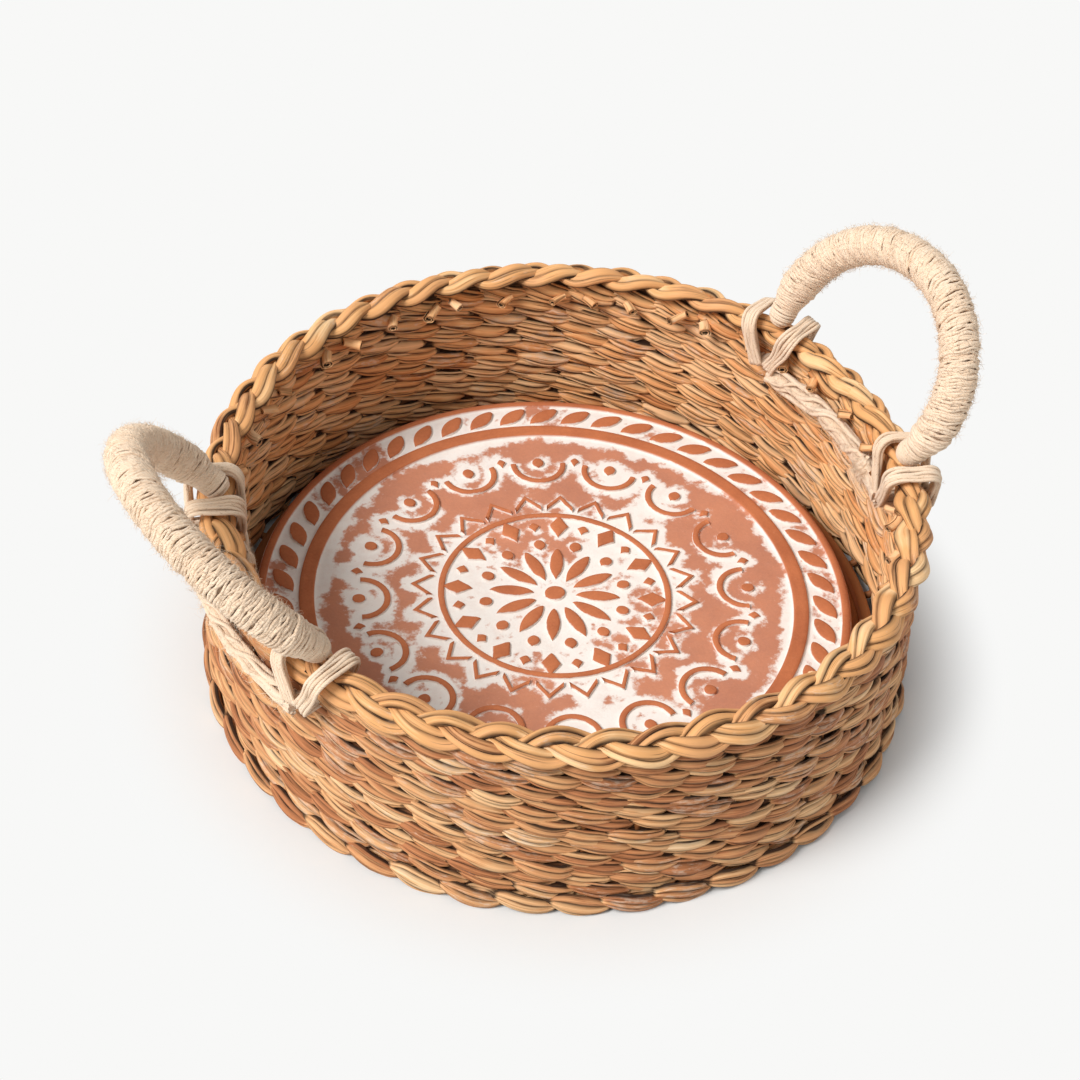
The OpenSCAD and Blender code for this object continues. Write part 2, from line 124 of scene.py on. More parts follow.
class TileSettings(bpy.types.PropertyGroup):
    """Sizes of the tile's carving, from its edge inwards"""
    edge: length("Edge", 2.5, "Radius of the tile's rounded edges")
    relief: length("Relief", 1.2, "Depth of the carved ground")
    lip: length("Lip", 4.0, "Width of the plain outer lip")
    rope: length("Rope border", 11.4, "Width of the border of slanted leaves")
    ring: length("Ring", 6.0, "Width of the plain ring inside that border")
    margin: length("Margin", 4.0, "Bare ground round the field")
    leaf: length("Leaf", 13.4, "Length of a leaf in the border")
    leaf_width: length("Leaf width", 6.2, "Width of a leaf in the border")
    slant: angle("Slant", 36, "Slant of the leaves against the border")
    leaves: IntProperty(name="Leaves", default=50, description="Leaves in the border")
    petals: IntProperty(name="Petals", default=12, description="Petals round the centre")
    petal: length("Petal", 16.0, "Length of a petal")
    petal_width: length("Petal width", 5.2, "Width of a petal")
    bead: length("Bead", 4.6, "Diameter of the beads")
    lozenge: length("Lozenge", 11.0, "Length of a lozenge")
    lozenge_width: length("Lozenge width", 7.6, "Width of a lozenge")
    chevron: length("Chevron", 6.0, "Length of a chevron")
    chevron_width: length("Chevron width", 9.6, "Width of a chevron")
    arm: length("Arm", 2.4, "Width of the arms of chevrons and arches, and of the thin ring")
    arch: length("Arch", 10.6, "Outer radius of an arch")


class HandleSettings(bpy.types.PropertyGroup):
    """Sizes of the wound handles"""
    turns: IntProperty(name="Turns", default=150, description="Turns of yarn in each of two layers")
    yarn: length("Yarn", 1.2, "Thickness of the yarn on a handle")
    cover: length("Cover", 7.1, "Radius of the wound handle")
    foot: length("Foot", 5.1, "Radius of the wound foot")
    groove: length("Groove", 1.0, "Greatest depth of the grooves between groups of turns")
    fuzz: IntProperty(name="Fuzz", default=4200, description="Loose fibres on a handle")
    reach: length("Fibre reach", 3.2, "Length of the longest loose fibre on a handle")


class CordSettings(bpy.types.PropertyGroup):
    """Sizes of the cords that lash the handles to the basket"""
    solid: length("Solid lashing", 4.2, "Thickness of a lashing in the solid model")
    spare: length("Spare", 1.4, "How far a lashing is drawn clear of the handle's foot")
    lane: length("Lane", 1.2, "Spacing of the yarns that lie side by side in a lashing")
    bend: length("Bend", 5.0, "Radius of a lashing's bends")
    yarn: length("Yarn", 1.5, "Thickness of a yarn in a lashing")
    yarns: IntProperty(name="Yarns", default=9, description="Yarns of a lashing, in two layers")
    loop_fuzz: IntProperty(name="Loop fuzz", default=120, description="Loose fibres on a loop")
    tuft: IntProperty(name="Tuft", default=420, description="Loose fibres on a knot")


class ColourSettings(bpy.types.PropertyGroup):
    """Colours of the piece"""
    grass_dark: tint("Dark grass", (158, 98, 56), "Darkest blades")
    grass_mid: tint("Grass", (226, 166, 112), "Most blades")
    grass_light: tint("Light grass", (248, 202, 150), "Lightest blades")
    grass_bright: tint("Bright grass", (252, 218, 176), "Streaks that catch the light")
    grass_pale: tint("Scuffed grass", (238, 214, 190), "Rubbed and dusty places")
    grass_red: tint("Red grass", (196, 126, 80), "Reddish blades")
    # Painted shade in the depths between the blades, and the dark streaks along them
    crease_shade: tint("Crease", (26, 8, 2), "Depths between the blades")
    rim_mid: tint("Rim grass", (228, 168, 108), "Blades of the rim")
    rim_light: tint("Light rim grass", (250, 208, 156), "Lightest blades of the rim")
    # Painted light: the warm cast multiplied into the grass inside the basket
    inside_painted_light: tint("Inside cast", (255, 227, 198), "Cast of the grass inside the basket")
    jute: tint("Jute", (239, 213, 185), "Yarn")
    # Darkest yarn, and the painted shade between the plies
    jute_dark: tint("Dark jute", (206, 167, 124), "Yarn between the plies")
    jute_light: tint("Light jute", (245, 227, 204), "Fibres that catch the light")
    # Specks in the yarn, and the colour of the painted shade in its gaps
    jute_fleck_and_shade: tint("Jute fleck", (150, 104, 60), "Specks and gaps in the yarn")
    clay: tint("Clay", (198, 118, 76), "Terracotta")
    clay_dark: tint("Dark clay", (166, 92, 58), "Terracotta in the hollows")
    clay_light: tint("Light clay", (214, 140, 104), "Terracotta where it is palest")
    wash: tint("Wash", (240, 232, 224), "White wash in the carving")
    floor: tint("Floor", (248, 248, 247), "Backdrop, and the floor away from the basket")
    floor_near: tint("Near floor", (228, 227, 225), "Floor round the foot of the basket")


class StageSettings(bpy.types.PropertyGroup):
    """Camera and light"""
    lens: FloatProperty(name="Lens", default=80.0, description="Focal length, in millimetres")
    distance: FloatProperty(name="Distance", default=0.8535, unit="LENGTH",
                            description="From the camera to what it looks at")
    height: FloatProperty(name="Target height", default=0.0339, unit="LENGTH",
                          description="Height of the point that the camera looks at")
    azimuth: angle("Azimuth", -30.9, "Direction of the camera round the basket")
    elevation: angle("Elevation", 44.07, "Height of the camera above the horizon")
    roll: angle("Roll", 4.32, "Turn of the camera about its own axis")
    shift_x: FloatProperty(name="Shift X", default=-0.01917, description="Shift of the frame")
    shift_y: FloatProperty(name="Shift Y", default=0.02926, description="Shift of the frame")
    key: FloatProperty(name="Key light", default=3.2, description="Strength of the key light")
    key_azimuth: angle("Key azimuth", 182, "Direction that the key light comes from")
    key_elevation: angle("Key elevation", 48, "Height of the key light above the horizon")
    key_angle: angle("Key size", 24, "Width of the key light as seen from the basket")
    fill: FloatProperty(name="Fill light", default=0.5, description="Strength of the sky")
    shadow_in: length("Shadow start", 122.0, "Where the floor's shadow starts to fade out")
    shadow_out: length("Shadow end", 165.0, "Where the floor turns to the plain backdrop")
    half_floor: length("Half floor", 6000.0, "Half the side of the floor")


class Wire:
    """A node's output: arithmetic on it adds Math nodes."""

    def __init__(self, shader, socket):
        self.shader = shader
        self.socket = socket

    def of(self, name):
        """Another output of the same node."""
        return Wire(self.shader, self.socket.node.outputs[name])

    def maths(self, operation, *others, clamp=False):
        """This operation on the value and the others."""
        inputs = dict(enumerate((self,) + others))
        settings = {"operation": operation, "use_clamp": clamp}
        return self.shader.node("ShaderNodeMath", settings, inputs)

    def __add__(self, other):
        return self.maths("ADD", other)

    __radd__ = __add__

    def __sub__(self, other):
        return self.maths("SUBTRACT", other)

    def __rsub__(self, other):
        return (self * -1) + other

    def __mul__(self, other):
        return self.maths("MULTIPLY", other)

    __rmul__ = __mul__

    def clamped(self):
        """The value, held between 0 and 1."""
        return self.maths("ADD", 0.0, clamp=True)

    def step(self, low, high):
        """0 below low, 1 above high, and a smooth step between."""
        settings = {"interpolation_type": "SMOOTHSTEP"}
        return self.shader.node("ShaderNodeMapRange", settings,
                                {"Value": self, "From Min": low, "From Max": high})


class Shader:
    """The nodes of a material or a world, which is its owner."""

    def __init__(self, owner):
        self.owner = owner
        owner.use_nodes = True
        self.tree = owner.node_tree
        self.tree.nodes.clear()

    def node(self, kind, settings=None, sockets=None):
        """Adds a node: its settings first, then the values or links of its sockets."""
        made = self.tree.nodes.new(kind)
        for key, value in (settings or {}).items():
            if key == "stops":
                self.set_stops(made.color_ramp, value)
            else:
                setattr(made, key, value)
        for key, value in (sockets or {}).items():
            if isinstance(value, Wire):
                self.tree.links.new(value.socket, made.inputs[key])
            else:
                made.inputs[key].default_value = value
        shown = [output for output in made.outputs if output.enabled]
        return Wire(self, shown[0]) if shown else made

    @staticmethod
    def set_stops(ramp, stops):
        """Gives a colour ramp these stops, each a place and a colour."""
        while len(ramp.elements) < len(stops):
            ramp.elements.new(0.5)
        for element, (place, shade) in zip(ramp.elements, stops):
            element.position = place
            element.color = shade

    def value(self, name):
        """A finish value that the mesh carries."""
        return self.node("ShaderNodeAttribute", {"attribute_name": name}).of("Fac")

    def place(self, *scale):
        """Place on the strand, along it and across it, stretched by scale."""
        across = self.node("ShaderNodeUVMap", {"uv_map": "Strand"})
        return self.node("ShaderNodeVectorMath", {"operation": "MULTIPLY"}, {0: across, 1: scale})

    def noise(self, place, scale=1.0, detail=3.0, roughness=0.55):
        """Noise from 0 to 1, about 0.5 on average."""
        sockets = {"Vector": place, "Scale": scale, "Detail": detail, "Roughness": roughness}
        return self.node("ShaderNodeTexNoise", {}, sockets)

    def ramp(self, factor, stops):
        """The colour that a ramp of these stops gives."""
        return self.node("ShaderNodeValToRGB", {"stops": stops}, {"Fac": factor})

    def mix(self, factor, first, second, blend="MIX"):
        """The first colour, turned to the second by this factor."""
        settings = {"data_type": "RGBA", "blend_type": blend}
        return self.node("ShaderNodeMix", settings, {0: factor, 6: first, 7: second})

    def bump(self, height, distance, strength=1.0):
        """A normal that stands for small relief of this height."""
        sockets = {"Height": height, "Distance": distance, "Strength": strength}
        return self.node("ShaderNodeBump", {}, sockets)

    def finish(self, base, roughness, normal, fixed=None):
        """The surface itself: fixed holds what is the same all over."""
        sockets = {"Base Color": base, "Roughness": roughness, "Normal": normal}
        surface = self.node("ShaderNodeBsdfPrincipled", {}, {**sockets, **(fixed or {})})
        self.node("ShaderNodeOutputMaterial", {}, {"Surface": surface})
        return self.owner


def grass(name, tints, stops, fineness=1.0):
    """Dry grass blades: streaks along the blade, pale scuffs, and painted shade in the hollows."""
    shader = Shader(bpy.data.materials.new(name))
    streak = shader.noise(shader.place(60 * fineness, 1900 * fineness, 1), detail=4.0)
    fine = shader.noise(shader.place(140 * fineness, 5200 * fineness, 1), detail=2.0)
    blotch = shader.noise(shader.place(110, 260, 1), detail=2.0)
    rubbed = shader.noise(shader.place(190, 700, 1), detail=5.0, roughness=0.7)

    # The blade's tone, with painted light that makes it paler and warmer inside the basket, where
    # less light falls
    inside = shader.value("inside")
    tone = shader.value("tone") + (streak - 0.5) * 0.8 + (blotch - 0.5) * 0.45 + inside * 0.42
    shade = shader.ramp(tone, stops)
    painted_inside_light = shader.mix(1.0, shade, tints.inside_painted_light, "MULTIPLY")
    shade = shader.mix(inside * 0.75, shade, painted_inside_light)

    # Scuffs on the edges and the dusty blades
    scuff = (rubbed + shader.value("edge") * 0.10 + shader.value("dust") * 0.18).step(0.62, 0.80)
    shade = shader.mix(scuff * 0.55, shade, tints.grass_pale)

    # Dark streaks along the blade, and painted shade in the depths between one blade and the next
    crack = (1 - streak).step(0.56, 0.68)
    depth = shader.value("hollow") * (1.25 - streak * 0.5) * (0.25 + blotch * 1.6)
    dark = (depth + crack * 0.5).clamped()
    shade = shader.mix(dark * 0.95, shade, tints.crease_shade)

    height = streak * 0.7 + fine * 0.3 + scuff * 0.15
    roughness = 0.46 + fine * 0.22 + scuff * 0.15 + dark * 0.3
    return shader.finish(shade, roughness, shader.bump(height, 0.45 * MM, 1.0),
                         {"Specular IOR Level": 0.3})


def jute(name, tints):
    """Pale yarn: twisted plies with loose fibres between them."""
    shader = Shader(bpy.data.materials.new(name))
    where = shader.node("ShaderNodeUVMap", {"uv_map": "Strand"})
    parts = shader.node("ShaderNodeSeparateXYZ", {}, {0: where})
    turn = (parts.of("X") * 900 + parts.of("Y") * 1250) * TAU
    ply = turn.maths("SINE") * 0.5 + 0.5
    fibre = shader.noise(shader.place(900, 2600, 1), detail=4.0, roughness=0.7)
    patch = shader.noise(shader.place(45, 60, 1), detail=2.0)
    speck = shader.noise(shader.place(700, 1500, 1), detail=3.0, roughness=0.6)
    # The ply wave paints the grooves between the plies a little darker, as painted shade
    tone = shader.value("tone") * 0.25 + (fibre - 0.5) * 0.8 + (patch - 0.5) * 0.4 + ply * 0.12
    shade = shader.ramp(tone + 0.42, [(0.0, tints.jute_dark), (0.55, tints.jute),
                                      (1.0, tints.jute_light)])
    # Specks in the yarn, and painted shade under the turns and in the grooves
    fleck_and_shade = (shader.value("hollow") * 0.35 + speck.step(0.57, 0.68) * 0.5).clamped()
    shade = shader.mix(fleck_and_shade, shade, tints.jute_fleck_and_shade)
    normal = shader.bump(ply * 0.4 + fibre * 0.7, 0.25 * MM, 0.8)
    return shader.finish(shade, 0.9, normal, {"Specular IOR Level": 0.2, "Sheen Weight": 0.2})


def clay(name, tints):
    """Terracotta with a chalky white wash left in its hollows."""
    shader = Shader(bpy.data.materials.new(name))
    place = shader.node("ShaderNodeTexCoord").of("Object")
    cloud = shader.noise(place, 46.0, 4.0, 0.6)
    grain = shader.noise(place, 900.0, 4.0, 0.7)
    patch = shader.noise(place, 30.0, 6.0, 0.62)
    smear = shader.noise(place, 210.0, 5.0, 0.7)
    near, rise, wash = (shader.value(name) for name in ("near", "rise", "wash"))
    shade = shader.ramp(cloud * 0.7 + grain * 0.3, [(0.25, tints.clay_dark), (0.62, tints.clay),
                                                    (1.0, tints.clay_light)])

    # The wash fills the ground, and is rubbed off in patches away from the raised shapes
    rubbed = (patch - 0.47) * 16 + near * 0.62 - 1.9 + (smear - 0.5) * 6
    covered = wash * (1 - rubbed.step(-0.4, 1.2) * 0.9)

    # Chalk clings to the skirts of the raised shapes, and specks all of the clay
    skirt = (1 - rise) * (1 - wash)
    dust = (skirt * 1.5 + (smear - 0.5) * 1.4).step(0.35, 0.9)
    speck = (grain * 0.5 + smear * 0.5).step(0.60, 0.72) * 0.22
    white = (covered * ((smear - 0.5) * 0.5 + 0.98) + dust * 0.95 + speck).clamped()
    shade = shader.mix(white, shade, tints.wash)
    normal = shader.bump(grain * 0.6 + smear * 0.4 + white * 0.3, 0.25 * MM, 0.7)
    return shader.finish(shade, 0.86 - grain * 0.1, normal, {"Specular IOR Level": 0.3})


def flat_values(count, sides, value):
    """A finish value for each point, from one number or from one for each ring."""
    value = np.asarray(value, float)
    if value.ndim == 1:
        value = value[:, None]
    return np.broadcast_to(value, (count, sides)).ravel()


def unit(vectors):
    """The same directions at length 1."""
    return vectors / np.maximum(np.linalg.norm(vectors, axis=-1, keepdims=True), 1e-12)


def smooth(low, high, value):
    """0 at low, 1 at high, and a smooth step between."""
    part = np.clip((value - low) / (high - low), 0, 1)
    return part * part * (3 - 2 * part)


class TubeMesh:
    """Gathers tubes swept along paths into one mesh with two UV maps and its finish values."""
    MARGIN = 0.04  # bare share of a lane on each of its sides in the bake map
    CAP_PLACE = 0.001  # where the ends of the tubes lie in the bake map

    def __init__(self, values=("tone", "inside", "edge", "dust", "hollow")):
        self.points = []
        self.quads = []
        self.caps = []
        self.strand_uv = []
        self.bake_uv = []
        self.cap_uv = []
        self.values = {name: [] for name in values}
        self.count = 0
        self.strips = 0

    def add(self, path, outward, section, closed=False, strips=1, offset=0.0, **values):
        """One tube: section holds, for each ring, its offsets outwards and upwards."""
        if closed:
            along = unit(np.roll(path, -1, 0) - np.roll(path, 1, 0))
            gaps = np.linalg.norm(np.roll(path, -1, 0) - path, axis=1)
        else:
            along = unit(np.gradient(path, axis=0))
            gaps = np.linalg.norm(np.diff(path, axis=0), axis=1)
        out = unit(outward - along * (outward * along).sum(1, keepdims=True))
        up = np.cross(out, along)
        rings = (path[:, None] + out[:, None] * section[..., :1] + up[:, None] * section[..., 1:])
        self.add_rings(rings, np.concatenate([[0.0], np.cumsum(gaps)]) + offset, closed, strips,
                       **values)

    def add_rings(self, rings, run, closed=False, strips=1, **values):
        """One tube through these rings: run is the length along it at each ring."""
        count, sides = rings.shape[:2]
        spans = count if closed else count - 1
        i, k = np.meshgrid(np.arange(spans), np.arange(sides), indexing="ij")
        after, beside = (i + 1) % count, (k + 1) % sides
        quads = np.stack([i * sides + k, after * sides + k, after * sides + beside,
                          i * sides + beside], -1).reshape(-1, 4)
        self.quads.append(quads + self.count)
        girth = np.linalg.norm(np.roll(rings, -1, 1) - rings, axis=2).sum(1).mean()
        u = np.stack([run[i], run[i + 1], run[i + 1], run[i]], -1)
        v = np.stack([k, k, k + 1, k + 1], -1) / sides
        self.strand_uv.append(np.stack([u, v * girth], -1).reshape(-1, 2))
        strip = np.floor(i * strips / spans)
        start = i * strips / spans - strip
        end = np.minimum(start + strips / spans, 1.0)
        u = np.stack([start, end, end, start], -1)
        v = strip[..., None] + self.strips + self.MARGIN + (1 - 2 * self.MARGIN) * v
        self.bake_uv.append(np.stack([u, v], -1).reshape(-1, 2))
        self.strips += strips
        if not closed:
            first = np.arange(sides)[::-1] + self.count
            last = np.arange(sides) + self.count + (count - 1) * sides
            self.caps += [first, last]
            for end in (run[0], run[-1]):
                self.cap_uv.append(np.tile([end, 0.0], (sides, 1)))
        self.points.append(rings.reshape(-1, 3))
        for name, gathered in self.values.items():
            gathered.append(flat_values(count, sides, values.get(name, 0.0)))
        self.count += count * sides

    def build(self, name, slot, material, replaces=(), from_above=False):
        """The mesh as an object; from_above lays its bake map out as seen from above."""
        points = np.concatenate(self.points)
        quads = np.concatenate(self.quads)
        corners = np.concatenate([quads.ravel()] + self.caps)
        sizes = [4] * len(quads) + [len(cap) for cap in self.caps]
        mesh = bpy.data.meshes.new(name)
        mesh.vertices.add(len(points))
        mesh.vertices.foreach_set("co", points.ravel())
        mesh.loops.add(len(corners))
        mesh.loops.foreach_set("vertex_index", corners.astype(np.int32))
        mesh.polygons.add(len(sizes))
        starts = np.concatenate([[0], np.cumsum(sizes)[:-1]])
        mesh.polygons.foreach_set("loop_start", starts.astype(np.int32))
        mesh.update(calc_edges=True)
        mesh.shade_smooth()
        if from_above:
            bake = self.map_from_above(points, quads)
        else:
            bake = np.concatenate(self.bake_uv) / (1, self.strips)
        strand = np.concatenate(self.strand_uv + self.cap_uv)
        bake = np.concatenate([bake, np.full((len(corners) - len(bake), 2), self.CAP_PLACE)])
        for label, values in (("Strand", strand), ("OFBake", bake)):
            mesh.uv_layers.new(name=label).uv.foreach_set("vector", values.ravel())
        for label, values in self.values.items():
            layer = mesh.attributes.new(label, "FLOAT", "POINT")
            layer.data.foreach_set("value", np.concatenate(values).astype(np.float32))
        mesh.materials.append(material)
        made = bpy.data.objects.new(name, mesh)
        bpy.context.scene.collection.objects.link(made)
        if replaces:
            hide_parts(*replaces)
        return made

    @staticmethod
    def map_from_above(points, quads):
        """Faces that look up fill most of the map; the sides and the underside share the rest."""
        top_size = 0.86
        side_size, side_place = (0.86, 0.10), (0.0, 0.88)
        under_size, under_place = 0.12, (0.875, 0.0)
        corner = points[quads]
        normal = np.cross(corner[:, 2] - corner[:, 0], corner[:, 3] - corner[:, 1])
        low, high = points.min(0), points.max(0)
        flat = (corner[..., :2] - low[:2]) / (high - low)[:2].max()
        faces_up = normal[:, 2] > 0.12 * np.linalg.norm(normal, axis=1)
        side = np.stack([np.arctan2(corner[..., 1], corner[..., 0]) / TAU + 0.5,
                         (corner[..., 2] - low[2]) / (high - low)[2]], -1)
        side = np.clip(side, 0, 1)
        under = normal[:, 2] < -0.7 * np.linalg.norm(normal, axis=1)
        bake = np.where(faces_up[:, None, None], flat * top_size, side * side_size + side_place)
        bake = np.where(under[:, None, None], flat * under_size + under_place, bake)
        return bake.reshape(-1, 2)


def eased(values, place, edge=1.0):
    """Values given at the whole numbers of a closed run, eased from each to the next."""
    low = np.floor(place).astype(int)
    part = smooth(0, 1, np.clip((place - low - 0.5) / edge + 0.5, 0, 1))
    return values[low % len(values)] * (1 - part) + values[(low + 1) % len(values)] * part


def resample(path, count):
    """Points at even lengths along a closed path."""
    loop = np.concatenate([path, path[:1]])
    run = np.concatenate([[0], np.cumsum(np.linalg.norm(np.diff(loop, axis=0), axis=1))])
    at = run[-1] * np.arange(count) / count
    return np.stack([np.interp(at, run, loop[:, axis]) for axis in range(3)], -1)


def around(radius, turn, height):
    """Points at these radii, turns and heights about the basket's axis."""
    return np.stack([radius * np.cos(turn), radius * np.sin(turn), height + 0 * turn], -1)


def facing(turn):
    """Directions straight out from the basket's axis."""
    return around(1.0, turn, 0.0)


def node_points(name):
    """The corners of a node's solid."""
    mesh = frame["nodes"][name].data
    points = np.empty(len(mesh.vertices) * 3, np.float32)
    mesh.vertices.foreach_get("co", points)
    return points.reshape(-1, 3).astype(float)


def node_radii(*names):
    """Least and greatest distance of these nodes' points from the basket's axis."""
    points = np.concatenate([node_points(name) for name in names])
    spans = np.hypot(points[:, 0], points[:, 1])
    return spans.min(), spans.max()


def rounded(sides, half_out, half_up):
    """Rings of a round section."""
    turn = TAU * np.arange(sides) / sides
    return np.stack([half_out[:, None] * np.cos(turn), half_up[:, None] * np.sin(turn)], -1)


def blade(sides, half_height, half_depth, tilt, shift_out, shift_up, heavy=0.0):
    """Rings of a flat blade, heavier along its lower edge: one ring for each half_height."""
    turn = TAU * np.arange(sides) / sides
    out = half_depth[:, None] * np.cos(turn) * (1 - heavy * np.sin(turn))
    up = half_height[:, None] * np.sin(turn)
    cos, sin = np.cos(tilt)[:, None], np.sin(tilt)[:, None]
    return np.stack([out * cos - up * sin + shift_out[:, None],
                     out * sin + up * cos + shift_up[:, None]], -1)


def boss(left, right, height):
    """Rings of a raised shape between two edges: rounded shoulders, and a foot in the clay."""
    full_width = 1.1 * MM
    foot = -0.25
    turn = np.pi * np.arange(9) / 8
    across = np.sign(np.cos(turn)) * np.abs(np.cos(turn)) ** 0.55
    rise = np.abs(np.sin(turn)) ** 0.6
    across = np.concatenate([across, [-1.0, 1.0]])
    rise = np.concatenate([rise, [foot, foot]])
    middle, half = (left + right) / 2, (left - right) / 2
    width = np.linalg.norm(half, axis=1)
    tall = height * np.clip(width / full_width, 0.0, 1.0) ** 0.5
    flat = middle[:, None] + half[:, None] * across[:, None]
    up = np.where(rise > 0, rise * tall[:, None], rise * height)
    return np.concatenate([flat, up[..., None]], -1), np.clip(rise, 0, 1)


def tapered(length, widths):
    """The two edges of a straight shape along X: widths runs over -1 to 1 along it."""
    t = -np.cos(np.pi * np.arange(17) / 16)
    half = np.maximum(widths(t), 0.02 * MM)
    x = t * length / 2
    return np.stack([x, half], -1), np.stack([x, -half], -1)


def lens(length, width):
    """The edges of a leaf between two arcs."""
    bulge = (length ** 2 + width ** 2) / (4 * width)
    return tapered(length, lambda t: np.sqrt(bulge ** 2 - (t * length / 2) ** 2) - bulge
                   + width / 2)


def disc(width):
    """The edges of a round bead."""
    return tapered(width, lambda t: width / 2 * np.sqrt(np.clip(1 - t ** 2, 0, 1)))


def lozenge(length, width):
    """The edges of a lozenge."""
    return tapered(length, lambda t: width / 2 * (1 - np.abs(t)))


def chevron(length, width, arm):
    """The edges of a chevron that points outwards."""
    t = np.linspace(-1, 1, 13)
    outer = np.stack([length / 2 - np.abs(t) * length, t * width / 2], -1)
    return outer - (arm, 0), outer


def arch(radius, arm):
    """The edges of an arch that opens outwards."""
    turn = np.linspace(np.pi / 2, 1.5 * np.pi, 19)
    rim = np.stack([np.cos(turn), np.sin(turn)], -1)
    return rim * (radius - arm), rim * radius


def turned(points, turn):
    """Flat points turned about the middle."""
    cos, sin = math.cos(turn), math.sin(turn)
    return points @ np.array([[cos, sin], [-sin, cos]])


def distance_finder(points):
    """A function that gives the distance from each place to the nearest of these points."""
    tree = KDTree(len(points))
    for i, point in enumerate(points):
        tree.insert((point[0], point[1], 0), i)
    tree.balance()

    def near(places):
        flat = places.reshape(-1, 2)
        found = [tree.find((x, y, 0))[2] for x, y in flat.tolist()]
        return np.array(found).reshape(places.shape[:-1])

    return near


def fuzz(tubes, rng, roots, normals, count, reach):
    """Loose fibres that stand and curl away from a surface."""
    joints = 5
    pick = rng.integers(0, len(roots), count)
    for root, normal in zip(roots[pick], normals[pick]):
        drift = unit(rng.normal(size=3)[None])[0]
        along = unit((np.cross(normal, drift) + normal * rng.uniform(0.05, 0.5))[None])[0]
        size = rng.uniform(0.4, 1.0) ** 2 * reach
        t = np.linspace(0, 1, joints)[:, None]
        curl = unit(rng.normal(size=3)[None])[0] * size * 0.45
        path = root + along * t * size + curl * t ** 2
        path = path + normal * (0.25 * size * np.sin(np.pi * t))
        thick = 0.055 * MM * (1.15 - t[:, 0])
        tubes.add(path, np.tile(drift, (joints, 1)), rounded(3, thick, thick),
                  tone=np.full(joints, rng.uniform(0.3, 1.0)))


@dataclass
class Twining:
    """How the two strands of a twined row run, and the shape of their stitches."""
    height: float
    depth: float
    sway: float
    drop: float
    shingle: float
    pinch: float  # share of a stitch's height that is lost where it turns in
    edgewise: float  # share by which a strand thickens where it turns in
    stray: float  # how far a stitch wanders from its place
    squareness: float = 0.8  # power that flattens the swing on each face of the wall
    lag: float = 0.0  # how far the row is shifted along the wall


def twined_strand(tubes, rng, radius, height, phase, look):
    """One strand of a twined row: it passes outside one stake and inside the next."""
    sides = 12
    per_stitch = 14
    overlap = 0.24 * MM
    place = np.arange(STAKES * per_stitch) / per_stitch
    swing = np.pi * (place + phase)
    face = np.cos(swing)
    spread = np.sign(face) * np.abs(face) ** look.squareness

    def draw(low, high, edge=0.6):
        """A random value for each stitch, eased from one to the next."""
        return eased(rng.uniform(low, high, STAKES), place, edge)

    # The strand's own line
    turn = TAU * place / STAKES + (draw(-1, 1) * look.stray + look.lag) / radius
    swung = radius + look.sway * spread * draw(0.92, 1.1) + draw(-1, 1) * look.stray * 0.5
    risen = height - look.drop * np.sin(swing) + draw(-1, 1) * look.stray * 0.55
    middle = around(swung, turn, risen)
    stitch = swing / np.pi
    off = 2 * np.abs(stitch - np.round(stitch))
    half = look.height / 2 * (1 - look.pinch * off ** 3) * draw(0.8, 1.15)
    depth = look.depth / 2 * (1 + look.edgewise * off ** 2) * draw(0.85, 1.12)

    # It splits into three blades: the upper and the lower are either slivers or broad
    first = eased(np.where(rng.random(STAKES) < 0.5, rng.uniform(0.07, 0.18, STAKES),
                           rng.uniform(0.28, 0.44, STAKES)), place, 0.5)
    third = eased(np.where(rng.random(STAKES) < 0.6, rng.uniform(0.05, 0.16, STAKES),
                           rng.uniform(0.24, 0.4, STAKES)), place, 0.5)
    tones = 0.22 + 0.48 * rng.beta(1.8, 1.8, STAKES)
    dust = np.clip(rng.uniform(-0.8, 1.2, STAKES), 0, 1)
    side = np.sin(TAU * np.arange(sides) / sides)
    edge = np.broadcast_to(np.abs(side) ** 12, (len(place), sides))
    blades = ((first, 1 - first), (1 - first - third, third - first), (third, third - 1))
    for size, centre in blades:
        lean = np.arcsin(np.clip(centre, -0.95, 0.95)) * 0.35
        tilt = face * (look.shingle + lean + draw(-0.24, 0.24))
        lift = face * (look.depth * 0.12 * (1 - centre ** 2) + draw(-0.32, 0.32) * MM)
        section = blade(sides, half * size + overlap, depth * (0.58 + 0.36 * size), tilt,
                        lift, half * centre, heavy=0.42)
        # Painted shade where the blade turns in behind the stakes and along its upper and lower
        # edges; inside marks the blades on the inner face, which get painted light
        reach = section[..., 0] * np.sign(face)[:, None] + look.sway * np.abs(spread)[:, None]
        hollow = 1 - smooth(-0.75 * look.sway, 0.1 * look.sway, reach)
        hollow = np.maximum(hollow, smooth(0.2, 0.95, side))
        hollow = np.maximum(hollow, smooth(-0.25, -0.95, side))
        tubes.add(middle, facing(turn), section, closed=True, strips=4,
                  offset=rng.uniform(0, 9),
                  tone=eased(tones + rng.uniform(-0.2, 0.2, STAKES), place, 0.3),
                  inside=smooth(0.25, -0.25, face), edge=edge,
                  dust=eased(dust, place, 0.4), hollow=hollow)


def core(tubes, radius, height, half_depth, half_height):
    """Packing in the heart of a row, painted dark as shade, which shuts out the light between the
    stitches.
    """
    count = 3 * STAKES
    turn = TAU * np.arange(count) / count
    wide, tall = np.full(count, half_depth), np.full(count, half_height)
    tubes.add(around(radius, turn, height), facing(turn), rounded(8, wide, tall), closed=True,
              tone=np.full(count, 0.3), hollow=np.full(count, 0.9))


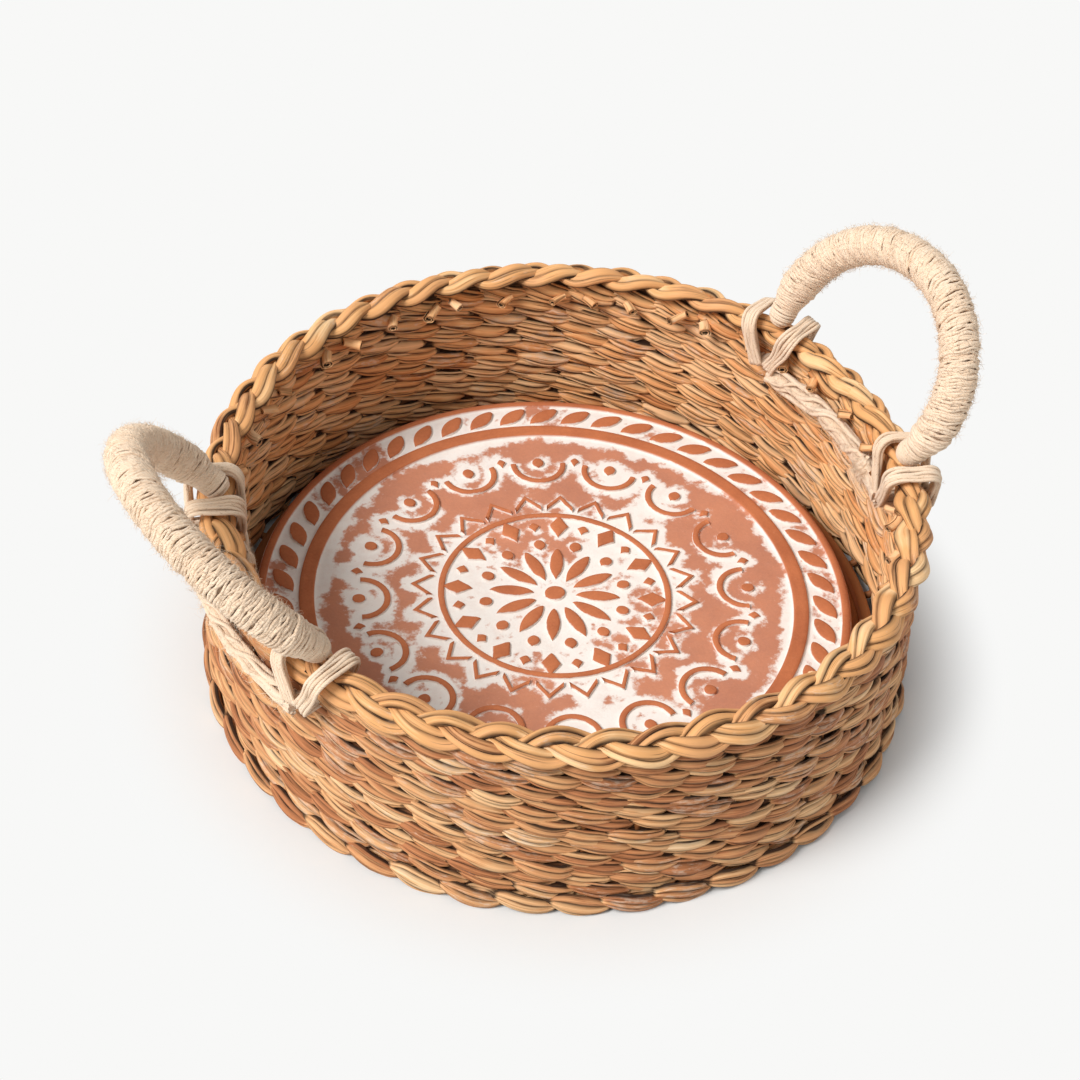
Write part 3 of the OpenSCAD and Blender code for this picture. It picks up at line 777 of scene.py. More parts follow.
class BuildStep(bpy.types.Operator):
    """Base of the steps that make the pieces"""
    bl_options = {"REGISTER", "UNDO"}

    def colours(self):
        """The colours that the user has set."""
        return bpy.context.scene.basket_colours

    def finish(self, name, make, *recipe):
        """The material of this name, made when it is first asked for."""
        return bpy.data.materials.get(name) or make(name, self.colours(), *recipe)

    def wall_grass(self):
        tints = self.colours()
        stops = [(0.0, tints.grass_dark), (0.3, tints.grass_red), (0.58, tints.grass_mid),
                 (0.84, tints.grass_light), (1.0, tints.grass_bright)]
        return self.finish("Wall grass", grass, stops)

    def rim_grass(self):
        tints = self.colours()
        stops = [(0.0, tints.grass_dark), (0.25, tints.grass_mid), (0.6, tints.rim_mid),
                 (1.0, tints.rim_light)]
        return self.finish("Rim grass", grass, stops, 0.7)

    def yarn(self):
        return self.finish("Jute yarn", jute)

    @staticmethod
    def clear_of_tile(tubes):
        """Press what stands in the tile's way back to the wall."""
        low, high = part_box("warming_tile")
        centre = np.array([(low.x + high.x) / 2, (low.y + high.y) / 2])
        clearance = 0.4 * MM
        reach = (high.x - low.x) / 2 + clearance
        for part in tubes.points:
            away = part[:, :2] - centre
            far = np.linalg.norm(away, axis=1)
            part[:, :2] = centre + away * (np.maximum(far, reach) / far)[:, None]


class WeaveWall(BuildStep):
    """Twine the rows of the wall, two strands to a row"""
    bl_idname = "basket.weave_wall"
    bl_label = "Weave the wall"

    def execute(self, context):
        weave = context.scene.basket_weave
        look = Twining(weave.stitch_height, weave.stitch_depth, weave.sway, weave.drop,
                       weave.shingle, pinch=0.54, edgewise=1.0, stray=1.4 * MM)
        shift = 0.34  # of the spacing of the stakes, in every other row
        for row in range(1, WALL_ROWS + 1):
            rng = np.random.default_rng(weave.seed + row)
            nodes = (f"inner_weaver_{row:02d}", f"outer_weaver_{row:02d}")
            low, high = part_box(nodes[1])
            radius = sum(node_radii(*nodes)) / 2
            middle = (low.z + high.z) / 2
            tubes = TubeMesh()
            look.lag = (row % 2) * shift * TAU * radius / STAKES
            for strand in (0, 1):
                twined_strand(tubes, rng, radius, middle, strand + row, look)
            core(tubes, radius, middle, half_depth=1.2 * MM, half_height=(high.z - low.z) * 0.62)
            piece = tubes.build(f"wall_row_{row:02d}", "seagrass", self.wall_grass(), nodes)
            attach(piece, BASKET)
        return {"FINISHED"}


class WeaveFoot(BuildStep):
    """Twine the thick row that the basket stands on"""
    bl_idname = "basket.weave_foot"
    bl_label = "Weave the foot"

    def execute(self, context):
        weave = context.scene.basket_weave
        look = Twining(weave.foot_height, weave.foot_depth, weave.foot_sway, weave.foot_drop,
                       weave.shingle * 0.5, pinch=0.55, edgewise=0.3, stray=0.4 * MM)
        rng = np.random.default_rng(weave.seed)
        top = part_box("foot_row")[1].z
        radius = sum(node_radii("foot_row")) / 2 - 0.8 * MM
        middle = top - 2.9 * MM
        tubes = TubeMesh()
        for strand in (0, 1):
            twined_strand(tubes, rng, radius, middle, strand, look)
        core(tubes, radius - 2.5 * MM, top - 0.5 * MM, half_depth=1.6 * MM, half_height=3.0 * MM)
        for ring in tubes.points:
            ring[:, 2] = np.maximum(ring[:, 2], 0.0)
        piece = tubes.build("foot_twine", "seagrass", self.wall_grass(), ("foot_row",))
        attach(piece, BASKET)
        return {"FINISHED"}


class PlaitRim(BuildStep):
    """Plait the three strands of the rim"""
    bl_idname = "basket.plait_rim"
    bl_label = "Plait the rim"

    def execute(self, context):
        rim = context.scene.basket_rim
        nodes = [f"rim_strand_{k}" for k in (1, 2, 3)]
        boxes = [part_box(name) for name in nodes]
        height = sum(low.z + high.z for low, high in boxes) / 6
        radius = sum(node_radii(*nodes)) / 2
        rng = np.random.default_rng(SEEDS["rim"])
        tubes = TubeMesh()
        for strand in range(3):
            self.plait_strand(tubes, rng, rim, radius, height, strand)

        # The collar: a twined row that the plait sits on
        look = Twining(rim.collar_height, rim.collar_depth, rim.collar_sway, rim.collar_drop,
                       shingle=0.15, pinch=0.5, edgewise=0.4, stray=0.8 * MM, squareness=1.0)
        collar_radius = radius - 0.6 * MM
        for strand in (0, 1):
            twined_strand(tubes, rng, collar_radius, height - 5.0 * MM, strand, look)
        core(tubes, collar_radius, height - 4.0 * MM, half_depth=1.0 * MM, half_height=3.4 * MM)
        core(tubes, radius, height - 0.4 * MM, half_depth=3.6 * MM, half_height=1.3 * MM)
        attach(tubes.build("rim_plait", "rim_grass", self.rim_grass(), nodes), BASKET)
        return {"FINISHED"}

    @staticmethod
    def plait_strand(tubes, rng, rim, radius, height, strand):
        """One strand of the plait, as two broad blades that lie side by side."""
        sides = 14
        per_leaf = 22
        overlap = 0.5 * MM
        leaves = rim.repeats * 2
        count = leaves * per_leaf
        place = np.arange(count) / per_leaf
        turn = TAU * place / leaves
        phase = np.pi * place + TAU * strand / 3

        def draw(low, high, edge=0.8):
            """A random value for each leaf of the plait, eased from one to the next."""
            return eased(rng.uniform(low, high, leaves), place, edge)

        # The strand's own line, on a face that is rolled outwards
        across = rim.sway * np.sin(phase) * draw(0.94, 1.08)
        over = rim.rise * np.sin(2 * phase) * draw(0.9, 1.1)
        cos, sin = math.cos(rim.roll), math.sin(rim.roll)
        out = facing(turn)
        face = UP * cos + out * sin
        side = out * cos - UP * sin
        middle = around(radius, turn, height) + side * across[:, None] + face * over[:, None]
        roll = 0.62 * np.sin(phase) + 0.25 * np.sin(2 * phase) * np.cos(phase)
        outward = face * np.cos(roll)[:, None] + side * np.sin(roll)[:, None]
        half = rim.blade_width / 2 * (1 - 0.3 * np.cos(phase) ** 2) * draw(0.82, 1.14)
        depth = rim.blade_depth / 2 * draw(0.85, 1.15)

        first = eased(rng.uniform(0.28, 0.72, leaves), place, 0.7)
        tones = 0.12 + 0.76 * rng.beta(1.8, 1.6, leaves)
        # Painted shade along both edges of each blade, where the blades meet
        rounds = np.abs(np.sin(TAU * np.arange(sides) / sides))
        for size, centre in ((first, 1 - first), (1 - first, -first)):
            lean = np.arcsin(np.clip(centre, -0.9, 0.9)) * 0.6
            tilt = lean + draw(-0.22, 0.22)
            lift = depth * 0.3 * (1 - centre ** 2) + draw(-0.3, 0.3) * MM
            section = blade(sides, half * size + overlap, depth * (0.7 + 0.3 * size), tilt, lift,
                            half * centre, heavy=0.3)
            tubes.add(middle, outward, section, closed=True, strips=5, offset=rng.uniform(0, 9),
                      tone=eased(tones + rng.uniform(-0.2, 0.2, leaves), place, 0.4),
                      edge=np.broadcast_to(rounds ** 12, (count, sides)),
                      dust=eased(np.clip(rng.uniform(-1.4, 0.8, leaves), 0, 1), place, 0.4),
                      hollow=np.broadcast_to(smooth(0.6, 1.0, rounds) * 0.9, (count, sides)))


class CarveTile(BuildStep):
    """Make the clay tile: a turned body and the raised carving on it"""
    bl_idname = "basket.carve_tile"
    bl_label = "Carve the tile"

    def execute(self, context):
        tile = context.scene.basket_tile
        low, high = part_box("warming_tile")
        centre = (low + high) / 2
        on_ground = (centre.x, centre.y, high.z - tile.relief)
        radius = (high.x - low.x) / 2
        rope_out = radius - tile.lip
        rope_in = rope_out - tile.rope
        ground_out = rope_in - tile.ring
        field = ground_out - tile.margin
        carving = TubeMesh(("wash", "near", "rise"))
        edges = []
        for left, right in self.ornament(tile, rope_in, rope_out, field):
            rings, rise = boss(left, right, tile.relief)
            carving.add_rings(rings + on_ground, np.arange(len(rings)) * MM, rise=rise[None])
            edges += [left, right]

        # The thin ring round the petals
        round_steps = 240
        turn = TAU * np.arange(round_steps)[:, None] / round_steps
        circle = np.concatenate([np.cos(turn), np.sin(turn)], 1)
        outer = field * 0.515
        inner = outer - tile.arm
        rings, rise = boss(circle * inner, circle * outer, tile.relief)
        carving.add_rings(rings + on_ground, np.arange(round_steps + 1) * MM, True,
                          rise=rise[None])
        edges += [circle * outer, circle * inner]
        edges += [circle * rope_out, circle * rope_in, circle * ground_out]

        material = self.finish("Clay", clay)
        piece = carving.build("tile_carving", "clay", material, ("warming_tile",), True)
        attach(piece, "tile")
        near = distance_finder(np.concatenate(edges))
        body = self.body(tile, radius, high.z - low.z, rope_out, rope_in, ground_out, near)
        for rings in body.points:
            rings += (centre.x, centre.y, low.z)
        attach(body.build("tile_body", "clay", material, ("warming_tile",), True), "tile")
        return {"FINISHED"}

    @staticmethod
    def ornament(tile, rope_in, rope_out, field):
        """The edges of every raised shape, about the middle of the tile."""
        many = tile.petals
        outer = many + 4
        # How many, the radius they stand at, their shift in steps, their slant and their edges
        bands = (
            (1, 0.0, 0.0, 0.0, disc(tile.bead * 1.6)),
            (many, 0.19 * field, 0.0, 0.0, lens(tile.petal, tile.petal_width)),
            (many, 0.31 * field, 0.5, 0.0, disc(tile.bead)),
            (many, 0.43 * field, 0.0, 0.0, lozenge(tile.lozenge, tile.lozenge_width)),
            (many, 0.43 * field, 0.5, 0.0, lozenge(tile.bead, tile.bead)),
            (2 * many, 0.60 * field, 0.0, 0.0,
             chevron(tile.chevron, tile.chevron_width, tile.arm)),
            (outer, 0.85 * field, 0.0, 0.0, arch(tile.arch, tile.arm)),
            (outer, 0.86 * field, 0.0, 0.0, disc(tile.bead)),
            (outer, 0.88 * field, 0.5, 0.0, lozenge(tile.bead, tile.bead * 0.8)),
            (tile.leaves, (rope_in + rope_out) / 2, 0.0, math.pi / 2 + tile.slant,
             lens(tile.leaf, tile.leaf_width)),
        )
        shapes = []
        for count, radius, phase, slant, edges in bands:
            for i in range(count):
                turn = TAU * (i + phase) / count
                shapes.append([turned(turned(edge, slant) + (radius, 0), turn)
                               for edge in edges])
        return shapes

    @staticmethod
    def body(tile, radius, thickness, rope_out, rope_in, ground_out, near):
        """The turned body: its profile runs from the middle of the underside to that of the top."""
        edge = tile.edge
        ground = thickness - tile.relief
        centre_hole = 0.02 * MM
        bend = np.linspace(0, np.pi / 2, 7)
        profile = [(r, 0.0) for r in np.linspace(centre_hole, radius - edge, 9)[:-1]]
        profile += [(radius - edge + edge * math.sin(a), edge - edge * math.cos(a)) for a in bend]
        profile += [(radius - edge + edge * math.cos(a), thickness - edge + edge * math.sin(a))
                    for a in bend]

        # Steps down and up across the top, each with softened corners and a flat behind it
        soft = 0.5 * MM
        spacing = 1.3 * MM
        steps = ((rope_out, rope_in, thickness, ground), (rope_in, ground_out, ground, thickness),
                 (ground_out, 0.0, thickness, ground))
        for at, stop, before, after in steps:
            start = at + (soft if before > after else 0)
            corner = (before - after) * 0.14
            profile += [(start + soft * 0.4, before), (start, before - corner),
                        (start - soft * 0.6, after + corner), (start - soft, after)]
            count = int((start - soft - stop) / spacing)
            profile += [(r, after) for r in np.linspace(start - soft, stop + 1.4 * MM, count)[1:]]
        profile = np.array(profile + [(centre_hole, ground)])

        round_steps = 400
        turn = TAU * np.arange(round_steps) / round_steps
        rings = around(profile[:, 0][None], turn[:, None], profile[:, 1][None])
        sunk = (np.abs(rings[..., 2] - ground) < 0.2 * MM).astype(float)
        made = TubeMesh(("wash", "near", "rise"))
        made.add_rings(rings, np.arange(round_steps + 1) * MM, True, wash=sunk,
                       near=np.where(sunk > 0, near(rings[..., :2]) / MM, 0), rise=1 - sunk)
        return made


class HandleLine:
    """Centre line of a handle: two arcs that meet at its crown, measured on its rope core."""

    def __init__(self, side):
        self.name = "handle_" + side
        hinge = next(j for j in frame["joints"] if j["child"] == self.name)["pos_m"]
        self.hinge = np.array([hinge[0], 0.0, hinge[2]])
        self.along = np.array([0.0, 1.0, 0.0])
        points = node_points(f"handle_{side}_core") - self.hinge
        mean = points.mean(0)
        away = math.copysign(1.0, hinge[0])
        lean = math.atan2(mean[0] * away, mean[2])
        self.rise = np.array([math.sin(lean) * away, 0.0, math.cos(lean)])
        self.across = np.cross(self.along, self.rise)
        height, out, y = points @ self.rise, points @ self.across, points[:, 1]
        rope = np.abs(out[height > 0.3 * height.max()]).max()
        self.height = height.max() - rope
        self.crown = y[height > height.max() - 0.2 * MM].mean()
        ball = -height.min()
        low = np.abs(height) < 0.3 * ball
        self.half = (y[low].max() - y[low].min()) / 2 - ball

        # The arc from the foot on +Y is 1, the arc to the foot on -Y is -1
        reach = {foot: self.half - foot * self.crown for foot in (1, -1)}
        self.radius = {foot: (far ** 2 + self.height ** 2) / (2 * self.height)
                       for foot, far in reach.items()}
        self.span = {foot: radius * math.atan2(reach[foot], radius - self.height)
                     for foot, radius in self.radius.items()}
        self.length = self.span[1] + self.span[-1]

    def at(self, s):
        """Points of the line, and its outward normals, at lengths from the foot on +Y."""
        over = s - self.span[1]
        radius = np.where(over < 0, self.radius[1], self.radius[-1])
        turn = over / radius
        y = self.crown - radius * np.sin(turn)
        rise = self.height - radius + radius * np.cos(turn)
        point = self.hinge + y[:, None] * self.along + rise[:, None] * self.rise
        normal = -np.sin(turn)[:, None] * self.along + np.cos(turn)[:, None] * self.rise
        return point, normal


class WindHandles(BuildStep):
    """Wind jute yarn round the two rope handles"""
    bl_idname = "basket.wind_handles"
    bl_label = "Wind the handles"

    def execute(self, context):
        look = context.scene.basket_handles
        for number, side in enumerate(("right", "left")):
            rng = np.random.default_rng(SEEDS["handles"] + number)
            line = HandleLine(side)
            tubes = TubeMesh(("tone", "hollow"))
            roots, normals = self.wind(tubes, rng, line, look)
            fuzz(tubes, rng, roots, normals, look.fuzz, look.reach)
            nodes = (f"handle_{side}_core", f"handle_{side}_winding")
            piece = tubes.build(f"handle_{side}_yarn", "jute", self.yarn(), nodes)
            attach(piece, line.name)
        return {"FINISHED"}

    @staticmethod
    def swell(look, ends):
        """0 on the feet and 1 on the handle: ends is the length to the nearer foot."""
        return smooth(0.6 * look.foot, 2.5 * look.foot, ends)

    @classmethod
    def fill(cls, tubes, line, look):
        """The heart of a handle, under the yarn, painted dark as shade."""
        count = 160
        s = np.linspace(0, line.length, count)
        point, normal = line.at(s)
        swell = cls.swell(look, np.minimum(s, line.length - s))
        radius = look.foot + (look.cover - look.foot) * swell
        radius = radius - look.groove - look.yarn * 0.5
        tubes.add(point, normal, rounded(24, radius, radius), tone=np.full(count, 0.2),
                  hollow=np.full(count, 0.8))

    @classmethod
    def wind(cls, tubes, rng, line, look):
        """Two layers of thin yarn, wound in uneven groups; gives points and normals on them."""
        sides = 7
        turns = look.turns
        start = -0.8 * look.foot
        count = turns * 24
        t = np.arange(count) / (count - 1)
        turn, spin = turns * t, TAU * turns * t

        # Grooves between the groups, each of a depth of its own
        groups = np.cumsum(rng.uniform(3.5, 7.5, turns))
        group = np.interp(turn + 0.35 * np.sin(spin + 2.0), groups - groups[0], np.arange(turns))
        groove = (1 - np.abs(np.sin(np.pi * group))) ** 1.3
        groove = groove * rng.uniform(0.1, 1.0, turns)[np.round(group).astype(int)]

        cls.fill(tubes, line, look)
        roots, normals = [], []
        for layer in range(2):
            # Where each turn lies along the handle, and how far it slants
            drift = eased(rng.uniform(-1, 1, turns * 2), turn * 1.7) * 0.6 * MM
            skew = (1.6 + 1.0 * layer) * MM * np.sin(spin + 0.7 + 0.9 * layer)
            skew = skew + 0.35 * MM * np.sin(5 * spin + 9 * eased(rng.random(turns), turn))
            skew = skew * smooth(0, 0.12, np.minimum(t, 1 - t))
            s = np.clip(start + (line.length - 2 * start) * t + drift + layer * 0.5 * MM,
                        start, line.length - start)
            ends = np.minimum(s, line.length - s)
            held = np.clip(s, 0, line.length)
            point, normal = line.at(held)
            tangent = np.cross(normal, line.across)
            point = point - tangent * (s - held)[:, None]

            # How far out it lies: on a ball at each foot, and on the cover between them
            ball = np.sqrt(np.clip(look.foot ** 2 - np.minimum(ends, 0) ** 2, 0, None))
            loose = eased(rng.uniform(-1, 0.5, turns * 3), turn * 2.7) * 0.22 * MM
            loose = loose + 0.12 * MM * np.sin(7 * spin + 9 * eased(rng.random(turns), turn))
            cover = look.cover - look.foot - look.groove * groove + loose
            radius = ball + cover * cls.swell(look, ends) - look.yarn / 2

            out = normal * np.cos(spin)[:, None] + line.across * np.sin(spin)[:, None]
            path = point + out * radius[:, None] + tangent * skew[:, None]
            wide = look.yarn * 0.5 * eased(rng.uniform(0.75, 1.15, turns * 2), turn * 2)
            # Painted shade on the side of each turn that faces the handle, and in the grooves
            # between the groups
            underside = (0.45 - np.cos(TAU * np.arange(sides) / sides)) / 1.45
            hollow = np.maximum(0, underside)[None] + groove[:, None] * 0.35
            tubes.add(path, out, rounded(sides, 0.95 * wide, wide), strips=turns // 2,
                      tone=eased(rng.random(turns), turn), hollow=hollow)
            off_feet = ends > 2.8 * look.foot
            roots.append((path + out * (look.yarn * 0.45))[off_feet])
            normals.append(out[off_feet])
        return np.concatenate(roots), np.concatenate(normals)


class LashHandles(BuildStep):
    """Lash the feet of the handles over the rim"""
    bl_idname = "basket.lash_handles"
    bl_label = "Lash the handles"

    def execute(self, context):
        look = context.scene.basket_cords
        for number, side in enumerate(("right", "left")):
            line = HandleLine(side)
            for place, sign in (("back", 1), ("front", -1)):
                rng = np.random.default_rng(SEEDS["lashings"] + 2 * number + (sign > 0))
                bearing = math.atan2(sign * line.half, line.hinge[0])
                node = f"{side}_lashing_{place}"
                tubes = TubeMesh(("tone", "hollow"))
                self.lash(tubes, rng, look, node, bearing)
                self.clear_of_tile(tubes)
                piece = tubes.build(f"{side}_{place}_yarns", "jute", self.yarn(), (node,))
                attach(piece, BASKET)
        return {"FINISHED"}

    @classmethod
    def lash(cls, tubes, rng, look, node, bearing):
        """The two loops of a lashing, each over the rim beside the foot and through the wall."""
        cos, sin = math.cos(bearing), math.sin(bearing)
        turn = np.array([[cos, -sin, 0], [sin, cos, 0], [0, 0, 1]])
        points = node_points(node) @ turn
        low, high = points.min(0), points.max(0)
        half_cord = look.solid / 2
        middle = (low[0] + high[0]) / 2
        reach = (high[0] - low[0]) / 2 - half_cord
        top, hole = high[2] - half_cord, low[2] + half_cord
        spread = np.abs(points[points[:, 2] > top, 1]).max() - half_cord
        pinch = np.abs(points[points[:, 2] < hole, 1]).max() - half_cord
        lean = (spread - pinch) / (top - hole)
        corner = reach - look.bend
        bend = np.linspace(0, np.pi / 2, 9)
        leg = np.linspace(0, top - hole - look.bend, 14)
        right = [(reach, z) for z in leg[:-1]]
        right += [(corner + look.bend * math.cos(a), leg[-1] + look.bend * math.sin(a))
                  for a in bend]
        left = [(-x, z) for x, z in reversed(right)]
        through = [(x * reach, 0.0) for x in np.linspace(-1, 1, 10)[1:-1]]
        flat = np.array(right + left + through)
        steps = 120
        for half in (-1, 1):
            path = np.stack([flat[:, 0] + middle, half * (pinch + flat[:, 1] * lean),
                             flat[:, 1] + hole], -1)
            path = resample(path, steps)
            climb = (path[:, 2] - hole) / (top - hole)
            path[:, 1] += half * (look.spare * climb + 0.5 * MM * np.sin(np.pi * climb) ** 2)
            cls.lay_yarns(tubes, rng, look, path, turn)
            roots = path @ turn.T
            lift = unit(rng.normal(size=roots.shape))
            below = climb < 0.7
            fuzz(tubes, rng, (roots + lift * look.lane * 1.6)[below], lift[below],
                 look.loop_fuzz, 2.4 * MM)

    @staticmethod
    def lay_yarns(tubes, rng, look, path, turn):
        """The yarns of one loop, side by side in two layers."""
        sides = 8
        steps = len(path)
        normal = unit(np.cross(path[steps // 2] - path[0], path[steps // 4] - path[0])[None])[0]
        along = unit(np.roll(path, -1, 0) - np.roll(path, 1, 0))
        out = unit(normal - along * (along @ normal)[:, None])
        up = np.cross(out, along)
        t = np.arange(steps) / steps
        # Painted shade on the sides where the yarns lie against their neighbours
        seam_shade = np.abs(np.sin(TAU * np.arange(sides) / sides)) ** 3 * 0.8
        for k in range(look.yarns):
            layer, lane = k % 2, k // 2
            lanes = (look.yarns + 1 - layer) // 2
            across = (lane - (lanes - 1) / 2) * look.lane
            sway = 0.3 * MM * np.sin(TAU * (rng.choice([2, 3, 4]) * t + rng.random()))
            across = across * (1 + 0.1 * np.sin(TAU * (2 * t + 0.3))) + sway
            wave = 0.3 * MM * np.sin(TAU * (rng.choice([2, 3]) * t + rng.random()))
            lift = (0.55 - 1.1 * layer) * MM + wave
            yarn = path + out * across[:, None] + up * lift[:, None]
            thick = look.yarn / 2 * eased(rng.uniform(0.85, 1.15, 9), t * 9)
            tubes.add(yarn @ turn.T, up @ turn.T, rounded(sides, thick, thick), closed=True,
                      offset=rng.uniform(0, 5), tone=eased(rng.random(7), t * 7),
                      hollow=np.broadcast_to(seam_shade, (steps, sides)))

class LayRuns(BuildStep):
    """Lay the cords that run along the wall between the lashings, and tie their knots"""
    bl_idname = "basket.lay_runs"
    bl_label = "Lay the runs"

    def execute(self, context):
        look = context.scene.basket_cords
        for number, side in enumerate(("right", "left")):
            rng = np.random.default_rng(SEEDS["runs"] + number)
            for face in ("inner", "outer"):
                node = f"{side}_{face}_run"
                tubes = TubeMesh(("tone", "hollow"))
                self.run(tubes, rng, node)
                self.clear_of_tile(tubes)
                piece = tubes.build(f"{side}_{face}_cord", "jute", self.yarn(), (node,))
                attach(piece, BASKET)
            tubes = TubeMesh(("tone", "hollow"))
            self.tuft(tubes, rng, look, f"{side}_knot")
            self.clear_of_tile(tubes)
            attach(tubes.build(f"{side}_tuft", "jute", self.yarn(), (f"{side}_knot",)), BASKET)
        return {"FINISHED"}

    @staticmethod
    def run(tubes, rng, node):
        """A loosely twisted bundle of eight yarns round a thick one, along the wall."""
        outer_yarns = 8
        sides = 7
        count = 260
        lay = 70 * MM
        wobble = 26 * MM
        overrun = 0.03
        points = node_points(node)
        radii = np.hypot(points[:, 0], points[:, 1])
        radius, cord = (radii.min() + radii.max()) / 2, radii.max() - radii.min()
        height = (points[:, 2].min() + points[:, 2].max()) / 2
        side = 0.0 if points[:, 0].mean() > 0 else np.pi
        angles = np.angle(np.exp(1j * (np.arctan2(points[:, 1], points[:, 0]) - side)))
        first, last = angles.min() - overrun, angles.max() + overrun
        t = np.arange(count) / (count - 1)
        turn = side + first + (last - first) * t
        length = radius * (last - first)
        # Painted shade where the twisted yarns touch
        seam_shade = np.abs(np.sin(TAU * np.arange(sides) / sides)) ** 3 * 0.6
        for k in range(outer_yarns + 1):
            spin = TAU * (k / (outer_yarns + 1) + length / lay * t)
            spin = spin + 0.5 * np.sin(TAU * (length / wobble * t + rng.random()))
            if k < outer_yarns:
                swell = eased(rng.uniform(0.75, 1.2, 7), t * 6)
                fullness = 1.0
            else:
                swell = np.zeros(count)
                fullness = 2.6
            thick = cord * 0.23 * eased(rng.uniform(0.85, 1.2, 14), t * 13) * fullness
            yarn = around(radius + 0.5 * cord * swell * np.cos(spin), turn,
                          height + 1.0 * cord * swell * np.sin(spin))
            tubes.add(yarn, facing(turn), rounded(sides, thick, thick),
                      offset=rng.uniform(0, 5), tone=eased(rng.random(12), t * 11),
                      hollow=np.broadcast_to(seam_shade, (count, sides)))
        roots = around(radius, turn, height)
        lift = unit(rng.normal(size=roots.shape))
        fuzz(tubes, rng, roots + lift * cord * 0.9, lift, 1100, 4.0 * MM)

    @staticmethod
    def tuft(tubes, rng, look, node):
        """A frayed knot: a ball of nine yarns in a cloud of fibres."""
        yarns = 9
        count = 14
        sides = 7
        points = node_points(node)
        low, high = points.min(0), points.max(0)
        middle, tall = (low + high) / 2, high[2] - low[2]
        wide = tall * 0.42
        inward = unit(-(middle * (1, 1, 0))[None])[0]
        side = np.cross(inward, UP)
        t = np.linspace(-1, 1, count)
        bulge = wide * 0.62 * np.sqrt(1.05 - t ** 2)
        thick = 1.15 * MM * (1.1 - 0.5 * t ** 2)
        for k in range(yarns):
            spin = TAU * (k / yarns) + t * 1.4
            path = middle + UP * (t * tall * 0.5)[:, None] + side * (bulge * np.cos(spin))[:, None]
            path = path + inward * (bulge * np.sin(spin) * 0.8)[:, None]
            tubes.add(path, np.tile(inward, (count, 1)), rounded(sides, thick, thick),
                      tone=np.full(count, rng.random()))
        lift = unit(rng.normal(size=(300, 3)) + inward * 0.5)
        fuzz(tubes, rng, middle + lift * wide * 0.6, lift, look.tuft, 8.0 * MM)


class CurlEnds(BuildStep):
    """Curl the cut ends of the stakes under the plait, and give the hidden weave its grass"""
    bl_idname = "basket.curl_ends"
    bl_label = "Curl the cut ends"

    def execute(self, context):
        low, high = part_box("stake_ends")
        height = (low.z + high.z) / 2
        inner, outer = node_radii("stake_ends")
        rng = np.random.default_rng(SEEDS["ends"])
        tubes = TubeMesh()
        for i in range(STAKES):
            self.curl(tubes, rng, TAU * i / STAKES, (inner + outer) / 2, height)
        piece = tubes.build("curled_ends", "rim_grass", self.wall_grass(), ("stake_ends",))
        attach(piece, BASKET)
        for name in ("stakes", "base_cross", "base_weave_under", "base_weave_over"):
            mesh = frame["nodes"][name].data
            mesh.materials.clear()
            mesh.materials.append(self.wall_grass())
        return {"FINISHED"}

    @staticmethod
    def curl(tubes, rng, turn, radius, height):
        """A blade rolled up on itself, lying along the wall."""
        thin = 0.42 * MM
        size = rng.uniform(1.6, 2.3) * MM
        count = 9
        t = np.linspace(0, 1, count)
        reach = rng.uniform(2.5, 5.5) * MM * rng.choice((-1, 1))
        along = turn + rng.uniform(-3, 3) * MM / radius + reach * t / radius
        inwards = rng.uniform(3.5, 5.0) * MM
        path = around(radius + 3.0 * MM - inwards * (1 - t) ** 1.5, along,
                      height + rng.uniform(-0.4, 1.8) * MM + rng.uniform(0.5, 2.5) * MM * t ** 2)

        # The section is a spiral: out along its outer face and back along its inner one
        rolls_count = 20
        rolls = np.linspace(0, TAU * 1.9, rolls_count) + rng.uniform(0, TAU)
        shell = size * (1 - 0.62 * np.linspace(0, 1, rolls_count))
        shell = shell * (1 + 0.2 * np.sin(2 * rolls + 1))
        spiral = np.stack([np.cos(rolls), np.sin(rolls)], -1)
        outer = spiral * shell[:, None]
        inner = spiral * (shell - thin)[:, None]
        section = np.concatenate([outer, inner[::-1]])[None] * (1 - 0.12 * t[:, None, None])
        # Painted shade on the inner face of the roll, and the painted light of the grass inside the
        # basket
        hollow = np.repeat((0.05, 0.85), rolls_count)
        tubes.add(path, facing(along), section, offset=rng.uniform(0, 5),
                  tone=np.full(count, rng.uniform(0.35, 0.75)),
                  hollow=np.broadcast_to(hollow, (count, 2 * rolls_count)),
                  inside=np.full(count, 0.7), dust=np.full(count, rng.uniform(0, 0.4)))


